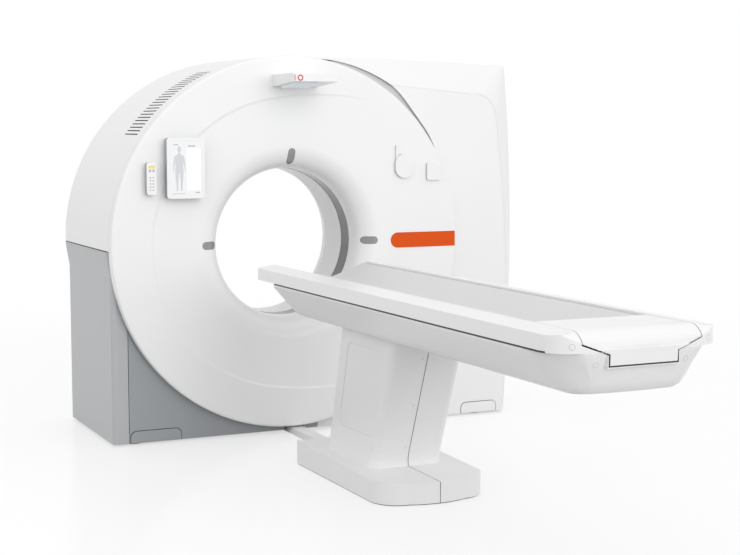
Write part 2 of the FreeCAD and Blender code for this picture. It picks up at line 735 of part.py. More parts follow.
def remote_dock(fill):
    x0, x1 = REMOTE_X
    z0, z1 = REMOTE_Z
    return on_cover(rounded(x0 + 6, x1 - 6, z0 + 24, z1 - 24, 8.0), DOCK_T, fill)


def remote_case():
    y1 = FACE_Y - DOCK_T
    body = prism(rounded(*REMOTE_X, *REMOTE_Z, REMOTE_R), y1 - REMOTE_T, y1)
    x0, x1 = REMOTE_X
    pad = prism(rounded(x0 + 7, x1 - 7, REMOTE_Z[1] - 44, REMOTE_Z[1] - 10, 6.0),
                y1 - REMOTE_T - 1.5, y1 - REMOTE_T)
    return body.fuse(pad)


def dock_oval(fill):
    x0, x1 = OVAL_X
    r = (x1 - x0) / 2 - 1
    pad = on_cover(rounded(x0, x1, *OVAL_Z, r), DOCK_T, fill)
    neck = on_cover(rounded(x0 + 4, x0 + 4 + OVAL_NECK_W, OVAL_Z[1] - r, OVAL_NECK_Z, 4.0),
                    DOCK_T / 2, fill)
    return pad.fuse(neck)


def dock_square(fill):
    return on_cover(rounded(*SQUARE_X, *SQUARE_Z, SQUARE_R), DOCK_T, fill)


def overhead_housing(fill):
    """Slim unit above the bore that reaches out over the table's head."""
    x0, x1 = HEAD_X
    body = side([
        (HEAD_FRONT_Y, HEAD_Z0), (FACE_Y + 40, HEAD_Z0 - HEAD_ROOT_DROP),
        (FACE_Y + 40, HEAD_Z1), (HEAD_FRONT_Y, HEAD_Z1),
    ], x0, x1)
    upright = [e for e in body.Edges if abs(e.tangentAt(e.FirstParameter).z) > 0.99
               and e.BoundBox.YMax < FACE_Y]
    body = body.makeFillet(HEAD_EDGE_R, upright)
    body = body.cut(disc(RING_R, HEAD_FRONT_Y - 1, HEAD_FRONT_Y + 1.0, RING_X, RING_Z))
    return body.cut(fill)


def overhead_ring():
    y0 = HEAD_FRONT_Y + 1.0 - RING_T
    outer = disc(RING_R, y0, HEAD_FRONT_Y + 1.0, RING_X, RING_Z)
    return outer.cut(disc(RING_HOLE_R, y0 - 1, y0 + RING_T / 2, RING_X, RING_Z))


def overhead_lamp():
    """Light box under the overhead unit."""
    def under(y):
        share = (y - HEAD_FRONT_Y) / (FACE_Y + 40 - HEAD_FRONT_Y)
        return HEAD_Z0 - HEAD_ROOT_DROP * share
    y0, y1 = LAMP_Y
    return side([
        (y0, under(y0)), (y0 + 4, under(y0) - LAMP_T), (y1 - 4, under(y1) - LAMP_T),
        (y1, under(y1)),
    ], *LAMP_X)


# ---- Gantry frame and rotor -------------------------------------------------------


def base_frame():
    """Welded floor frame with anchor pads."""
    z0 = FOOT_H
    z1 = FOOT_H + RAIL_H
    w = RAIL_W
    frame = box(FRAME_X0, FRAME_X0 + w, FRAME_Y0, FRAME_Y1, z0, z1)
    for x in (MIDDLE_RAIL_X, FRAME_X1 - w):
        frame = frame.fuse(box(x, x + w, FRAME_Y0, FRAME_Y1, z0, z1))
    for y in (STATOR_Y0 - 30, FRAME_Y1 - w):
        frame = frame.fuse(box(FRAME_X0, FRAME_X1, y, y + w, z0, z1))
    frame = frame.fuse(box(FRAME_X0, FRAME_X1, FRAME_Y0, FRAME_Y0 + FRONT_BEAM_W, z0, z1))
    for x in anchor_xs():
        for y in anchor_ys():
            pad = Part.makeCylinder(FOOT_R, FOOT_H, V(x, y, 0), UP)
            hole = Part.makeCylinder(ANCHOR_D / 2, z1 + 2, V(x, y, -1), UP)
            frame = frame.fuse(pad).cut(hole)
    return frame


def anchor_xs():
    return (FRAME_X0 + RAIL_W / 2, MIDDLE_RAIL_X + RAIL_W / 2, FRAME_X1 - RAIL_W / 2)


def anchor_ys():
    return (FRAME_Y0 + RAIL_W / 2, FRAME_Y1 - RAIL_W / 2)


def stator_plate():
    """Upright bearing plate with a foot and two gussets."""
    y0 = STATOR_Y0
    y1 = STATOR_Y0 + STATOR_T
    foot_z = FOOT_H + RAIL_H
    plate = disc(STATOR_R, y0, y1).fuse(prism([
        (-STATOR_R + 60, foot_z), (STATOR_R - 60, foot_z), (STATOR_R - 6, BORE_Z),
        (-STATOR_R + 6, BORE_Z)], y0, y1))
    plate = plate.cut(box(-STATOR_R, STATOR_R, y0 - 1, y1 + 1, 0, foot_z))
    plate = plate.cut(disc(STATOR_HOLE_R, y0 - 1, y1 + 1))
    for degrees in (30, 60, 90, 120, 150):
        window = disc(62.0, y0 - 1, y1 + 1, (STATOR_HOLE_R + STATOR_R) / 2, BORE_Z)
        plate = plate.cut(around(window, degrees))
    for x in (-GUSSET_X, GUSSET_X - GUSSET_T):
        plate = plate.fuse(side([
            (y1, foot_z), (FRAME_Y1, foot_z), (FRAME_Y1, foot_z + 60), (y1, foot_z + GUSSET_H),
        ], x, x + GUSSET_T))
    h = SHELL_ARM_W / 2
    for degrees in ARM_DEGS:
        arm = around(box(STATOR_R - 10, SHELL_REAR_R, y0, y1, BORE_Z - h, BORE_Z + h), degrees)
        plate = plate.fuse(arm.common(shell_solid(WALL)))
    z0, z1 = SIDE_ARM_Z
    return plate.fuse(box(SIDE_X + WALL, -STATOR_R + 70, y0, y1, z0, z1))


def bearing_outer():
    r = BEARING_R + BEARING_FIT
    outer = r + BEARING_OUT_W
    groove = turned([
        (outer + 1, STATOR_Y0 - 42), (outer - 8, STATOR_Y0 - 38),
        (outer - 8, STATOR_Y0 - 24), (outer + 1, STATOR_Y0 - 20),
    ])
    return ring(r, outer, STATOR_Y0 - BEARING_OUT_L, STATOR_Y0).cut(groove)


def bearing_inner():
    return ring(BEARING_R - BEARING_IN_W, BEARING_R, ROTOR_Y1, ROTOR_Y1 + BEARING_L)


def segmented(r0, r1, y0, y1, count, notch, at_r):
    """Ring with evenly spaced notches, for the coils and magnets of the ring motor."""
    body = ring(r0, r1, y0, y1)
    cutter = box(at_r - 6, at_r + 6, y0 - 1, y1 + 1, BORE_Z - notch / 2, BORE_Z + notch / 2)
    notches = [around(cutter, 360.0 * i / count) for i in range(count)]
    return body.cut(Part.makeCompound(notches))


def drive_rotor():
    return segmented(MOTOR_R0, MOTOR_R1, ROTOR_Y1, ROTOR_Y1 + MOTOR_L,
                     MOTOR_POLES, 8.0, MOTOR_R1)


def drive_stator():
    r = MOTOR_R1 + MOTOR_AIR
    return segmented(r, r + 50, STATOR_Y0 - MOTOR_L - 8, STATOR_Y0,
                     MOTOR_POLES, 14.0, r + 50)


def slip_ring():
    """Collector drum with its raised tracks."""
    y = ROTOR_Y1
    points = [(SLIP_R0, y), (SLIP_R1 - SLIP_TRACK_STEP, y)]
    pitch = SLIP_L / SLIP_TRACKS
    for i in range(SLIP_TRACKS):
        a = y + i * pitch + (pitch - SLIP_TRACK_W) / 2
        points.append((SLIP_R1 - SLIP_TRACK_STEP, a))
        points.append((SLIP_R1, a))
        points.append((SLIP_R1, a + SLIP_TRACK_W))
        points.append((SLIP_R1 - SLIP_TRACK_STEP, a + SLIP_TRACK_W))
    points += [(SLIP_R1 - SLIP_TRACK_STEP, y + SLIP_L), (SLIP_R0, y + SLIP_L)]
    return turned(points)


def brush_block():
    """Brush holder on the stator plate; its finger stands over the last track."""
    y1 = STATOR_Y0 + STATOR_T + 20
    pitch = SLIP_L / SLIP_TRACKS
    r = SLIP_R1 + BRUSH_GAP
    arm = box(STATOR_HOLE_R - 50, STATOR_HOLE_R + 60, STATOR_Y0 + STATOR_T, y1,
              BORE_Z - 45, BORE_Z + 45)
    head = box(r + 14, STATOR_HOLE_R - 40, ROTOR_Y1 + BEARING_L + 6, y1,
               BORE_Z - 45, BORE_Z + 45)
    block = arm.fuse(head)
    mid = ROTOR_Y1 + SLIP_L - pitch / 2
    finger = box(r + 2, r + 16, mid - 2, y1 - 10, BORE_Z - 30, BORE_Z + 30)
    return around(block.fuse(finger), BRUSH_DEG)


def rotor_plate():
    """Rotating plate with its drum rim and lightening holes."""
    y0 = ROTOR_Y1 - ROTOR_PLATE_T
    plate = ring(ROTOR_R0, ROTOR_R1, y0, ROTOR_Y1)
    rim = ring(ROTOR_R1 - DRUM_T, ROTOR_R1, ROTOR_Y0, ROTOR_Y1)
    lip = ring(ROTOR_R1 - 34, ROTOR_R1, ROTOR_Y0, ROTOR_Y0 + 8)
    body = plate.fuse(rim).fuse(lip)
    for degrees in (45, 135, 225, 315):
        hole = disc(PLATE_HOLE_R, y0 - 1, ROTOR_Y1 + 1, PLATE_HOLES_AT)
        body = body.cut(around(hole, degrees))
    return body


def xray_tube():
    """Tube housing at the top of the rotor, with its saddle and end caps."""
    y1 = ROTOR_Y1 - ROTOR_PLATE_T
    y0 = y1 - TUBE_LEN - 20
    z = BORE_Z + TUBE_CENTRE_R
    barrel = turned_about(V(0, y0 + 14, z), TUBE_R, TUBE_LEN - 8)
    cap = turned_about(V(0, y0, z), TUBE_R - 22, 14)
    neck = turned_about(V(0, y0 + TUBE_LEN + 6, z), TUBE_R - 14, y1 - (y0 + TUBE_LEN + 6))
    port = box(-38, 38, SCAN_Y - 34, SCAN_Y + 34, BORE_Z + FOCUS_R - 36, z)
    saddle = box(-TUBE_R - 24, TUBE_R + 24, y1 - 70, y1, z - 46, z + 30)
    return barrel.fuse(cap).fuse(neck).fuse(port).fuse(saddle)


def turned_about(base, radius, length):
    return Part.makeCylinder(radius, length, base, V(0, 1, 0))


def collimator():
    """Beam collimator box under the tube, open along the fan."""
    z1 = BORE_Z + FOCUS_R - 36
    z0 = BORE_Z + ROTOR_R0 + 26
    top = COLLIMATOR_TOP_W / 2
    foot = COLLIMATOR_FOOT_W / 2
    half = COLLIMATOR_L / 2
    body = prism([(-top, z1), (top, z1), (foot, z0), (-foot, z0)], SCAN_Y - half, SCAN_Y + half)
    fan_top = top - 50
    fan_foot = foot - 16
    fan = prism([(-fan_top, z1 + 1), (fan_top, z1 + 1), (fan_foot, z0 - 1), (-fan_foot, z0 - 1)],
                SCAN_Y - 14, SCAN_Y + 14)
    bracket = box(-top + 10, top - 10, SCAN_Y + half, ROTOR_Y1 - ROTOR_PLATE_T, z0 + 6, z0 + 34)
    return body.cut(fan).fuse(bracket)


def detector_arc():
    """Detector arc about the focus, with its cooling fins and carrier."""
    focus = V(0, 0, BORE_Z + FOCUS_R)
    plate_y = ROTOR_Y1 - ROTOR_PLATE_T

    def sector(r0, r1, y0, y1, half):
        face = Part.Face(outline([(r0, y0), (r1, y0), (r1, y1), (r0, y1)],
                                 lambda r, y: V(r, y, focus.z)))
        solid = face.revolve(focus, V(0, -1, 0), 2 * half)
        solid.rotate(focus, V(0, -1, 0), 270.0 - half)
        return solid

    half = DETECTOR_HALF_DEG
    w = DETECTOR_W / 2
    body = sector(DETECTOR_R, DETECTOR_R + DETECTOR_T, SCAN_Y - w, SCAN_Y + w, half)
    carrier = sector(DETECTOR_R + 14, DETECTOR_R + DETECTOR_T - 10, SCAN_Y + w, plate_y, half - 3)
    body = body.fuse(carrier)
    fin = box(-4, 4, SCAN_Y - w, SCAN_Y + w,
              focus.z - DETECTOR_R - DETECTOR_T - 22, focus.z - DETECTOR_R - DETECTOR_T + 4)
    for i in range(DETECTOR_FINS):
        one = fin.copy()
        angle = (half - 3) * (2 * i / (DETECTOR_FINS - 1) - 1)
        one.rotate(focus, V(0, -1, 0), angle)
        body = body.fuse(one)
    return body


def side_unit(degrees, fins):
    """Box on the rotor plate between the tube and the detector, with ribs in front."""
    y1 = ROTOR_Y1 - ROTOR_PLATE_T
    y0 = ROTOR_Y0 + 30
    half = UNIT_W / 2
    rib = UNIT_RIB_H
    reach = half - 30
    body = box(UNIT_R0, UNIT_R1, y0 + rib, y1, BORE_Z - half, BORE_Z + half)
    corner = ring(ROTOR_R1 - DRUM_T - 10, ROTOR_R1 + 200, y0 - 20, y1 + 1)
    body = body.cut(corner)
    for i in range(fins):
        z = BORE_Z - reach + i * 2 * reach / (fins - 1)
        body = body.fuse(box(UNIT_R0 + 20, UNIT_R1 - 40, y0, y0 + rib, z - 5, z + 5))
    return around(body, degrees)


def fan_tray():
    """Three axial fans behind the vent slots, on one curved frame."""
    r1 = DISC_R - WALL - 0.5
    y0 = VENT_Y0 - 6
    y1 = VENT_Y1 + 8
    span = VENT_PITCH_DEG * VENT_COUNT + 2
    start = VENT_FIRST_DEG - span + 2
    frame = turned([(r1 - FAN_T, y0), (r1, y0), (r1, y1), (r1 - FAN_T, y1)], start, span)
    mid_y = (y0 + y1) / 2
    for degrees in FAN_DEGS:
        bore = Part.makeCylinder(FAN_R, 100, V(r1 - FAN_T - 20, mid_y, BORE_Z), V(1, 0, 0))
        hub = Part.makeCylinder(FAN_R / 3, FAN_T - 10, V(r1 - FAN_T + 2, mid_y, BORE_Z),
                                V(1, 0, 0))
        blades = box(r1 - FAN_T + 6, r1 - 12, mid_y - FAN_R - 2, mid_y + FAN_R + 2,
                     BORE_Z - 2, BORE_Z + 2)
        cross = blades.copy()
        cross.rotate(V(0, mid_y, BORE_Z), V(1, 0, 0), 60)
        third = blades.copy()
        third.rotate(V(0, mid_y, BORE_Z), V(1, 0, 0), 120)
        frame = frame.cut(around(bore, degrees))
        frame = frame.fuse(around(hub.fuse(blades).fuse(cross).fuse(third), degrees))
    shelf = turned([(r1 - 8, y1), (r1, y1), (r1, STATOR_Y0), (r1 - 8, STATOR_Y0)],
                   start + 6, span - 12)
    tie = turned([(STATOR_R - 20, STATOR_Y0), (r1, STATOR_Y0),
                  (r1, STATOR_Y0 - 8), (STATOR_R - 20, STATOR_Y0 - 8)], start + 6, span - 12)
    return frame.fuse(shelf).fuse(tie)


def power_cabinet():
    """Power and control rack inside the wing."""
    z0 = FOOT_H + RAIL_H
    x0 = DISC_R + RACK_GAP
    x1 = x0 + RACK_W
    y0, y1 = RACK_Y
    edge = RACK_EDGE
    pitch = (RACK_TOP_Z - z0) / RACK_BAYS
    rack = box(x0, x1, y0, y1, z0, RACK_TOP_Z)
    for i in range(RACK_BAYS):
        z = z0 + i * pitch
        rack = rack.cut(box(x0 + edge, x1 - edge, y0 - 10, y0 + edge, z + edge, z + pitch - edge))
        handle_z = z + pitch / 2
        rack = rack.fuse(box(x0 + 2 * edge, x1 - 2 * edge, y0 + edge / 2, y0 + edge + 10,
                             handle_z, handle_z + HANDLE_H))
    return rack


# ---- Patient table: fixed part ------------------------------------------------------


def cable_duct():
    """Flat floor duct between gantry and table base."""
    x0 = DUCT_X - DUCT_HALF_W
    x1 = DUCT_X + DUCT_HALF_W
    return prism([(x0, 0), (x1, 0), (x1 - DUCT_SLOPE, DUCT_H), (x0 + DUCT_SLOPE, DUCT_H)],
                 BASE_REAR_Y, FRAME_Y0)


def base_outline(inset):
    """Plan of the pedestal base: square rear, round front."""
    w = BASE_HALF_W - inset
    y1 = BASE_REAR_Y - inset
    y0 = BASE_FRONT_Y + inset
    r = BASE_CORNER_R
    k = r * (1 - math.sqrt(0.5))
    shoulder = y0 + BASE_BULGE
    return [
        (w, y1), (-w, y1), (-w, shoulder + r), (-w + k, shoulder + k, -w + r, shoulder),
        (0, y0, w - r, shoulder), (w - k, shoulder + k, w, shoulder + r),
    ]


def column_ys(z):
    """Front and back of the leaning column at height z."""
    share = (z - COLUMN_FOOT_Z) / (COLUMN_TOP_Z - COLUMN_FOOT_Z)
    return tuple(foot + share * (top - foot)
                 for foot, top in zip(COLUMN_FOOT_Y, COLUMN_TOP_Y))


def column_wire(z, inset):
    """Rounded plan of the leaning column at height z."""
    y0, y1 = column_ys(z)
    w = COLUMN_HALF_W - inset
    return outline(rounded(-w, w, y0 + inset, y1 - inset, COLUMN_R - inset),
                   lambda x, y: V(x, y, z))


def foot_wire(z, spread, inset):
    """Column plan, spread outwards where it runs into the base."""
    y0 = COLUMN_FOOT_Y[0] - spread + inset
    y1 = COLUMN_FOOT_Y[1] + spread - inset
    w = COLUMN_HALF_W + spread - inset
    return outline(rounded(-w, w, y0, y1, COLUMN_R + spread - inset), lambda x, y: V(x, y, z))


def pedestal_solid(inset):
    """Base and column as one moulding; inset gives its inside."""
    low = -1.0 if inset else FLOOR_GAP / 2
    base = plan(base_outline(inset), low, BASE_REAR_Z + 1)
    slope = side([
        (BASE_REAR_Y + 50, BASE_REAR_Z - inset), (BASE_FRONT_Y - 50, BASE_FRONT_Z - inset),
        (BASE_FRONT_Y - 50, BASE_REAR_Z + 60), (BASE_REAR_Y + 50, BASE_REAR_Z + 60),
    ], -BASE_HALF_W - 50, BASE_HALF_W + 50)
    base = base.cut(slope)
    foot = Part.makeLoft([
        foot_wire(BASE_FRONT_Z - 4 - inset, 26.0, inset), foot_wire(98.0 - inset, 14.0, inset),
        foot_wire(COLUMN_FOOT_Z, 5.0, inset),
        column_wire(COLUMN_FOOT_Z + 26, inset)], True, True)
    top = COLUMN_TOP_Z + (1.0 if inset else 0.0)
    column = Part.makeLoft([column_wire(COLUMN_FOOT_Z + 26, inset), column_wire(top, inset)],
                           True, True)
    return base.fuse(foot).fuse(column)


def pedestal_half(whole, sign):
    """Left or right moulding, with the shallow panel in its side."""
    x0, x1 = (SPLIT_GAP / 2, 400) if sign > 0 else (-400, -SPLIT_GAP / 2)
    half = whole.common(box(x0, x1, BASE_FRONT_Y - 60, BASE_REAR_Y + 60, -5, 700))
    x = sign * (COLUMN_HALF_W - PANEL_RECESS)
    low_f, low_b = column_ys(PANEL_Z[0])
    top_f, top_b = column_ys(PANEL_Z[1])
    f, b = PANEL_MARGIN
    recess = side([(low_f + f, PANEL_Z[0]), (top_f + f, PANEL_Z[1]),
                   (top_b - b, PANEL_Z[1]), (low_b - b, PANEL_Z[0])], x, x + sign * 20)
    corners = [e for e in recess.Edges if abs(e.tangentAt(e.FirstParameter).x) > 0.99]
    return half.cut(recess.makeFillet(PANEL_CORNER_R, corners))


def lean_shift(z):
    """Y of the lift axis at height z."""
    return MAST_AXIS_Y - z * math.tan(math.radians(LEAN_DEG))


def leaning_tube(half_w, half_l, z0, z1):
    """Rectangular bar along the lift axis, cut level at both ends."""
    y0 = lean_shift(z0)
    y1 = lean_shift(z1)
    return side([
        (y0 - half_l, z0), (y0 + half_l, z0), (y1 + half_l, z1), (y1 - half_l, z1),
    ], -half_w, half_w)


def mast_outer():
    t = MAST_WALL
    tube = leaning_tube(MAST_HALF_W + t, MAST_HALF_L + t, PLATE_T, MAST_TOP_Z)
    tube = tube.cut(leaning_tube(MAST_HALF_W, MAST_HALF_L, PLATE_T - 1, MAST_TOP_Z + 1))
    y = lean_shift(PLATE_T)
    x1 = MAST_HALF_W + FLANGE_REACH[0]
    y1 = MAST_HALF_L + FLANGE_REACH[1]
    flange = box(-x1, x1, y - y1, y + y1, PLATE_T, PLATE_T + FLANGE_T)
    flange = flange.cut(leaning_tube(MAST_HALF_W, MAST_HALF_L, PLATE_T - 1, PLATE_T + 20))
    return tube.fuse(flange)


def table_base_plate():
    plate = plan(base_outline(WALL), 0, PLATE_T)
    for x in (-160, 160):
        for y in (BASE_FRONT_Y + 130, BASE_REAR_Y - 70):
            plate = plate.cut(Part.makeCylinder(ANCHOR_D / 2, PLATE_T + 2, V(x, y, -1), UP))
    return plate


def lift_drive():
    """Spindle motor beside the mast foot."""
    y = lean_shift(PLATE_T) + MAST_HALF_L + FLANGE_REACH[1] + LIFT_GAP
    gearbox = box(-LIFT_W / 2, LIFT_W / 2, y, y + LIFT_L, PLATE_T, PLATE_T + LIFT_H)
    motor = Part.makeCylinder(LIFT_MOTOR_R, LIFT_W, V(-LIFT_W / 2, y + LIFT_L / 2,
                              PLATE_T + LIFT_MOTOR_R), V(1, 0, 0))
    return gearbox.fuse(motor)


# ---- Patient table: lifted part -----------------------------------------------------


def mast_inner():
    f = MAST_FIT
    return leaning_tube(MAST_HALF_W - f, MAST_HALF_L - f, MAST_INNER_Z, HEAD_PLATE_Z[0])


def mast_head():
    """Head plate of the mast with two cross arms that carry the rails."""
    z0, z1 = HEAD_PLATE_Z
    y = lean_shift(z0)
    plate = box(-138, 138, y - ARM_OFFSET - ARM_W / 2, y + ARM_OFFSET + ARM_W / 2, z0, z1)
    for dy in (-ARM_OFFSET, ARM_OFFSET):
        for x0, x1 in ((ARM_X0, RAIL_X1), (-RAIL_X1, -ARM_X0)):
            plate = plate.fuse(box(x0, x1, y + dy - ARM_W / 2, y + dy + ARM_W / 2, z1, SLOT_Z))
    return plate


def rail_right():
    """Guide rail: foot between tub and rim, wall, and the shelf for the runner."""
    z = SLOT_Z
    points = [
        (RAIL_X0, z), (RAIL_FOOT_X, z), (RAIL_FOOT_X, z + SLOT_H), (RAIL_X1, z + SLOT_H),
        (RAIL_X1, RIM_TOP_Z - 7), (RAIL_X0, RIM_TOP_Z - 7), (RAIL_X0, SHELF_Z),
        (SHELF_X, SHELF_Z), (SHELF_X, SHELF_Z - SHELF_T), (RAIL_X0, SHELF_Z - SHELF_T),
    ]
    return prism(points, RAIL_FOOT_Y, NOSE_Y - 14)


def table_plan(half_w, head_y, foot_y, corner, z):
    """Plan of the table at height z; corner is the foot corner, across and along.

    The foot corner's arc leaves the side smoothly. Where it is longer than it is wide it
    meets the end face in a crease.
    """
    w = half_w
    k = HEAD_CORNER * (1 - math.sqrt(0.5))
    across, along = corner
    r = (across ** 2 + along ** 2) / (2 * across)
    half_turn = math.asin(min(1.0, along / r)) / 2
    mid_x = -w + r * (1 - math.cos(half_turn))
    mid_y = foot_y + along - r * math.sin(half_turn)
    points = [
        (-w, head_y - HEAD_CORNER), (-w, foot_y + along), (mid_x, mid_y, -w + across, foot_y),
        (0, foot_y - 8, w - across, foot_y), (-mid_x, mid_y, w, foot_y + along),
        (w, head_y - HEAD_CORNER), (w - k, head_y - k, w - HEAD_CORNER, head_y),
        (-w + HEAD_CORNER, head_y), (-w + k, head_y - k, -w, head_y - HEAD_CORNER),
    ]
    return outline(points, lambda x, y: V(x, y, z))


TUB_SECTIONS = (
    # height above the bottom, draw of the sides, rake of head and foot, foot corner
    (0.0, 112.0, 46.0, 62.0, (60.0, 60.0)),
    (10.0, 91.0, 41.0, 50.0, (68.0, 80.0)),
    (32.0, 71.0, 32.0, 34.0, (80.0, 110.0)),
    (117.0, 4.0, 2.0, 3.0, (100.0, 195.0)),
    (132.0, 0.0, 0.0, 0.0, TUB_CORNER),
)


def tub_solid(inset):
    """The tub's outer or inner form, lofted through its level sections."""
    wires = []
    for rise, draw, head_rake, foot_rake, corner in TUB_SECTIONS:
        z = TUB_BOTTOM_Z + rise + (inset if rise < 100 else 0.0)
        if inset and rise > 120:
            z = SLOT_Z + 1.0
        wires.append(table_plan(
            TABLE_HALF_W - draw - inset, TUB_HEAD_Y - head_rake - inset,
            TUB_FOOT_Y + 8 + foot_rake + inset, corner, z))
    return Part.makeLoft(wires, True, True)


def column_opening():
    """Hole in the tub's floor that the pedestal enters when the table goes down."""
    c = OPENING_CLEAR
    y0 = COLUMN_TOP_Y[0] - c - 8
    y1 = COLUMN_TOP_Y[1] + c
    return plan(rounded(-COLUMN_HALF_W - c, COLUMN_HALF_W + c, y0, y1, COLUMN_R + c),
                TUB_BOTTOM_Z - 5, TUB_BOTTOM_Z + 30)


def cap_end(gap):
    """XZ outline of the cap's end: slanting seams, then the tongue's straight sides."""
    w = RAIL_X0 + gap
    foot_x, foot_z = CAP_SEAM_FOOT
    n = TONGUE_HALF_W + gap
    low = TONGUE_Z - gap
    top = RIM_TOP_Z + 20
    return [
        (-n, low), (n, low), (n, TONGUE_TOP_Z - gap), (foot_x + gap / 2, foot_z - gap),
        (w, CAP_SEAM_Z - gap), (w, top), (-w, top), (-w, CAP_SEAM_Z - gap),
        (-foot_x - gap / 2, foot_z - gap), (-n, TONGUE_TOP_Z - gap),
    ]


def cap_zone(gap):
    """Room of the foot cap: between the rims, and within its end outline at the end face."""
    w = RAIL_X0 + gap
    inner_y = TUB_FOOT_Y + CAP_END_L - gap
    strip = box(-w, w, inner_y, CAP_HEAD_Y + gap, SLOT_Z - 5, RIM_TOP_Z + 20)
    return strip.fuse(prism(cap_end(gap), TUB_FOOT_Y - 60, inner_y))


def tub_shell():
    """Deep tub with raked ends, inward top flange and the recess for the tongue."""
    shell = tub_solid(0.0).cut(tub_solid(TUB_WALL))
    rim = Part.Face(table_plan(TABLE_HALF_W, TUB_HEAD_Y, TUB_FOOT_Y + 8, TUB_CORNER,
                               SLOT_Z - TUB_WALL)).extrude(V(0, 0, TUB_WALL))
    rim = rim.cut(box(-RAIL_X1, RAIL_X1, TUB_FOOT_Y + 40, TUB_HEAD_Y - 12,
                      SLOT_Z - 20, SLOT_Z + 5))
    shell = shell.fuse(rim).cut(column_opening())
    back_y = TUB_FOOT_Y + TONGUE_T + CAP_GAP
    tongue = prism(cap_end(CAP_GAP), TUB_FOOT_Y - 40, back_y)
    half = TONGUE_HALF_W + CAP_GAP + TUB_WALL
    pocket = box(-half, half, TUB_FOOT_Y + 2, back_y + TUB_WALL,
                 TONGUE_Z - CAP_GAP - TUB_WALL, SLOT_Z)
    low = BOARD_LOW_Z - BOARD_T - BOARD_CLEAR
    w = BOARD_HALF_W + BOARD_CLEAR
    knee_x, knee_z, edge_z = board_section(low, w)
    notch = prism([
        (-w, SLOT_Z + 60), (-w, edge_z), (-knee_x, knee_z), (0, low, knee_x, knee_z),
        (w, edge_z), (w, SLOT_Z + 60)], TUB_HEAD_Y - 60, TUB_HEAD_Y + 20)
    return shell.fuse(pocket).cut(tongue).cut(notch)


def lid_solid():
    """The closed top of the table: rims and foot cap before they are parted."""
    face = Part.Face(table_plan(TABLE_HALF_W, NOSE_Y, TUB_FOOT_Y + 8, LID_CORNER, SLOT_Z))
    lid = face.extrude(V(0, 0, RIM_TOP_Z - SLOT_Z))
    x = TABLE_HALF_W + 20
    lid = lid.cut(box(-x, x, SLOT_FOOT_Y, NOSE_Y + 50, SLOT_Z - 1, SLOT_Z + SLOT_H))
    slope = prism([
        (TABLE_HALF_W, SLOT_Z - 5), (TABLE_HALF_W, SLOT_Z + SLOT_H),
        (RIM_CREASE_X, RIM_CREASE_Z), (RIM_INNER_X, RIM_TOP_Z), (RIM_INNER_X, RIM_TOP_Z + 9),
        (x, RIM_TOP_Z + 9), (x, SLOT_Z - 5)], TUB_FOOT_Y - 50, NOSE_Y + 50)
    lid = lid.cut(slope).cut(mirrored(slope))
    end_y = TUB_FOOT_Y - 2
    run = FOOT_SLOPE_Y - end_y
    r = (run ** 2 + FOOT_FALL ** 2) / (2 * FOOT_FALL)
    half_turn = math.asin(run / r) / 2
    fall = side([
        (FOOT_SLOPE_Y, RIM_TOP_Z),
        (FOOT_SLOPE_Y - r * math.sin(half_turn), RIM_TOP_Z - r * (1 - math.cos(half_turn)),
         end_y, RIM_TOP_Z - FOOT_FALL),
        (end_y - 60, RIM_TOP_Z - FOOT_FALL), (end_y - 60, RIM_TOP_Z + 40),
        (FOOT_SLOPE_Y, RIM_TOP_Z + 40)], -x, x)
    return lid.cut(fall)


def rim_right(lid):
    """Side rim; it wraps the foot corner as far as the tongue."""
    half = lid.common(box(0, 400, TUB_FOOT_Y - 60, NOSE_Y + 60, SLOT_Z, RIM_TOP_Z + 20))
    half = half.cut(cap_zone(CAP_GAP))
    channel = box(-5, RAIL_X1, RAIL_FOOT_Y, NOSE_Y + 60, SLOT_Z - 5, RIM_TOP_Z - 7)
    inside = box(-5, RIM_INNER_X, CAP_HEAD_Y, NOSE_Y + 60, SLOT_Z - 5, RIM_TOP_Z + 20)
    return half.cut(channel).cut(inside)


def foot_cap(lid):
    """Cap over the foot end, with legs on the rails and a tongue down the end face."""
    whole = lid.common(cap_zone(0.0))
    hollow = lid.copy()
    hollow.translate(V(0, 0, -CAP_T))
    w = RAIL_X0 - 10
    hollow = hollow.common(box(-w, w, TUB_FOOT_Y + CAP_END_L, CAP_HEAD_Y - 10,
                               SLOT_Z - 30, RIM_TOP_Z))
    cap = whole.cut(hollow)
    rails = box(-RAIL_X1 - 1, RAIL_X1 + 1, RAIL_FOOT_Y, CAP_HEAD_Y + 20,
                SLOT_Z - 5, RIM_TOP_Z - CAP_T)
    cap = cap.cut(rails)
    for x0, x1 in ((RUNNER_X0, RUNNER_X1), (-RUNNER_X1, -RUNNER_X0)):
        cap = cap.fuse(box(x0, x1, RAIL_FOOT_Y + 4, CAP_HEAD_Y - 12,
                           SHELF_Z, RIM_TOP_Z - CAP_T + 1))
    tongue = side([
        (TUB_FOOT_Y + 1, TONGUE_Z), (TUB_FOOT_Y - 1.5, RIM_TOP_Z - FOOT_FALL),
        (TUB_FOOT_Y + TONGUE_T, RIM_TOP_Z - FOOT_FALL + 6),
        (TUB_FOOT_Y + TONGUE_T, TONGUE_Z)], -RAIL_X0, RAIL_X0)
    return cap.fuse(tongue.common(prism(cap_end(0.0), TUB_FOOT_Y - 60, TUB_FOOT_Y + 60)))


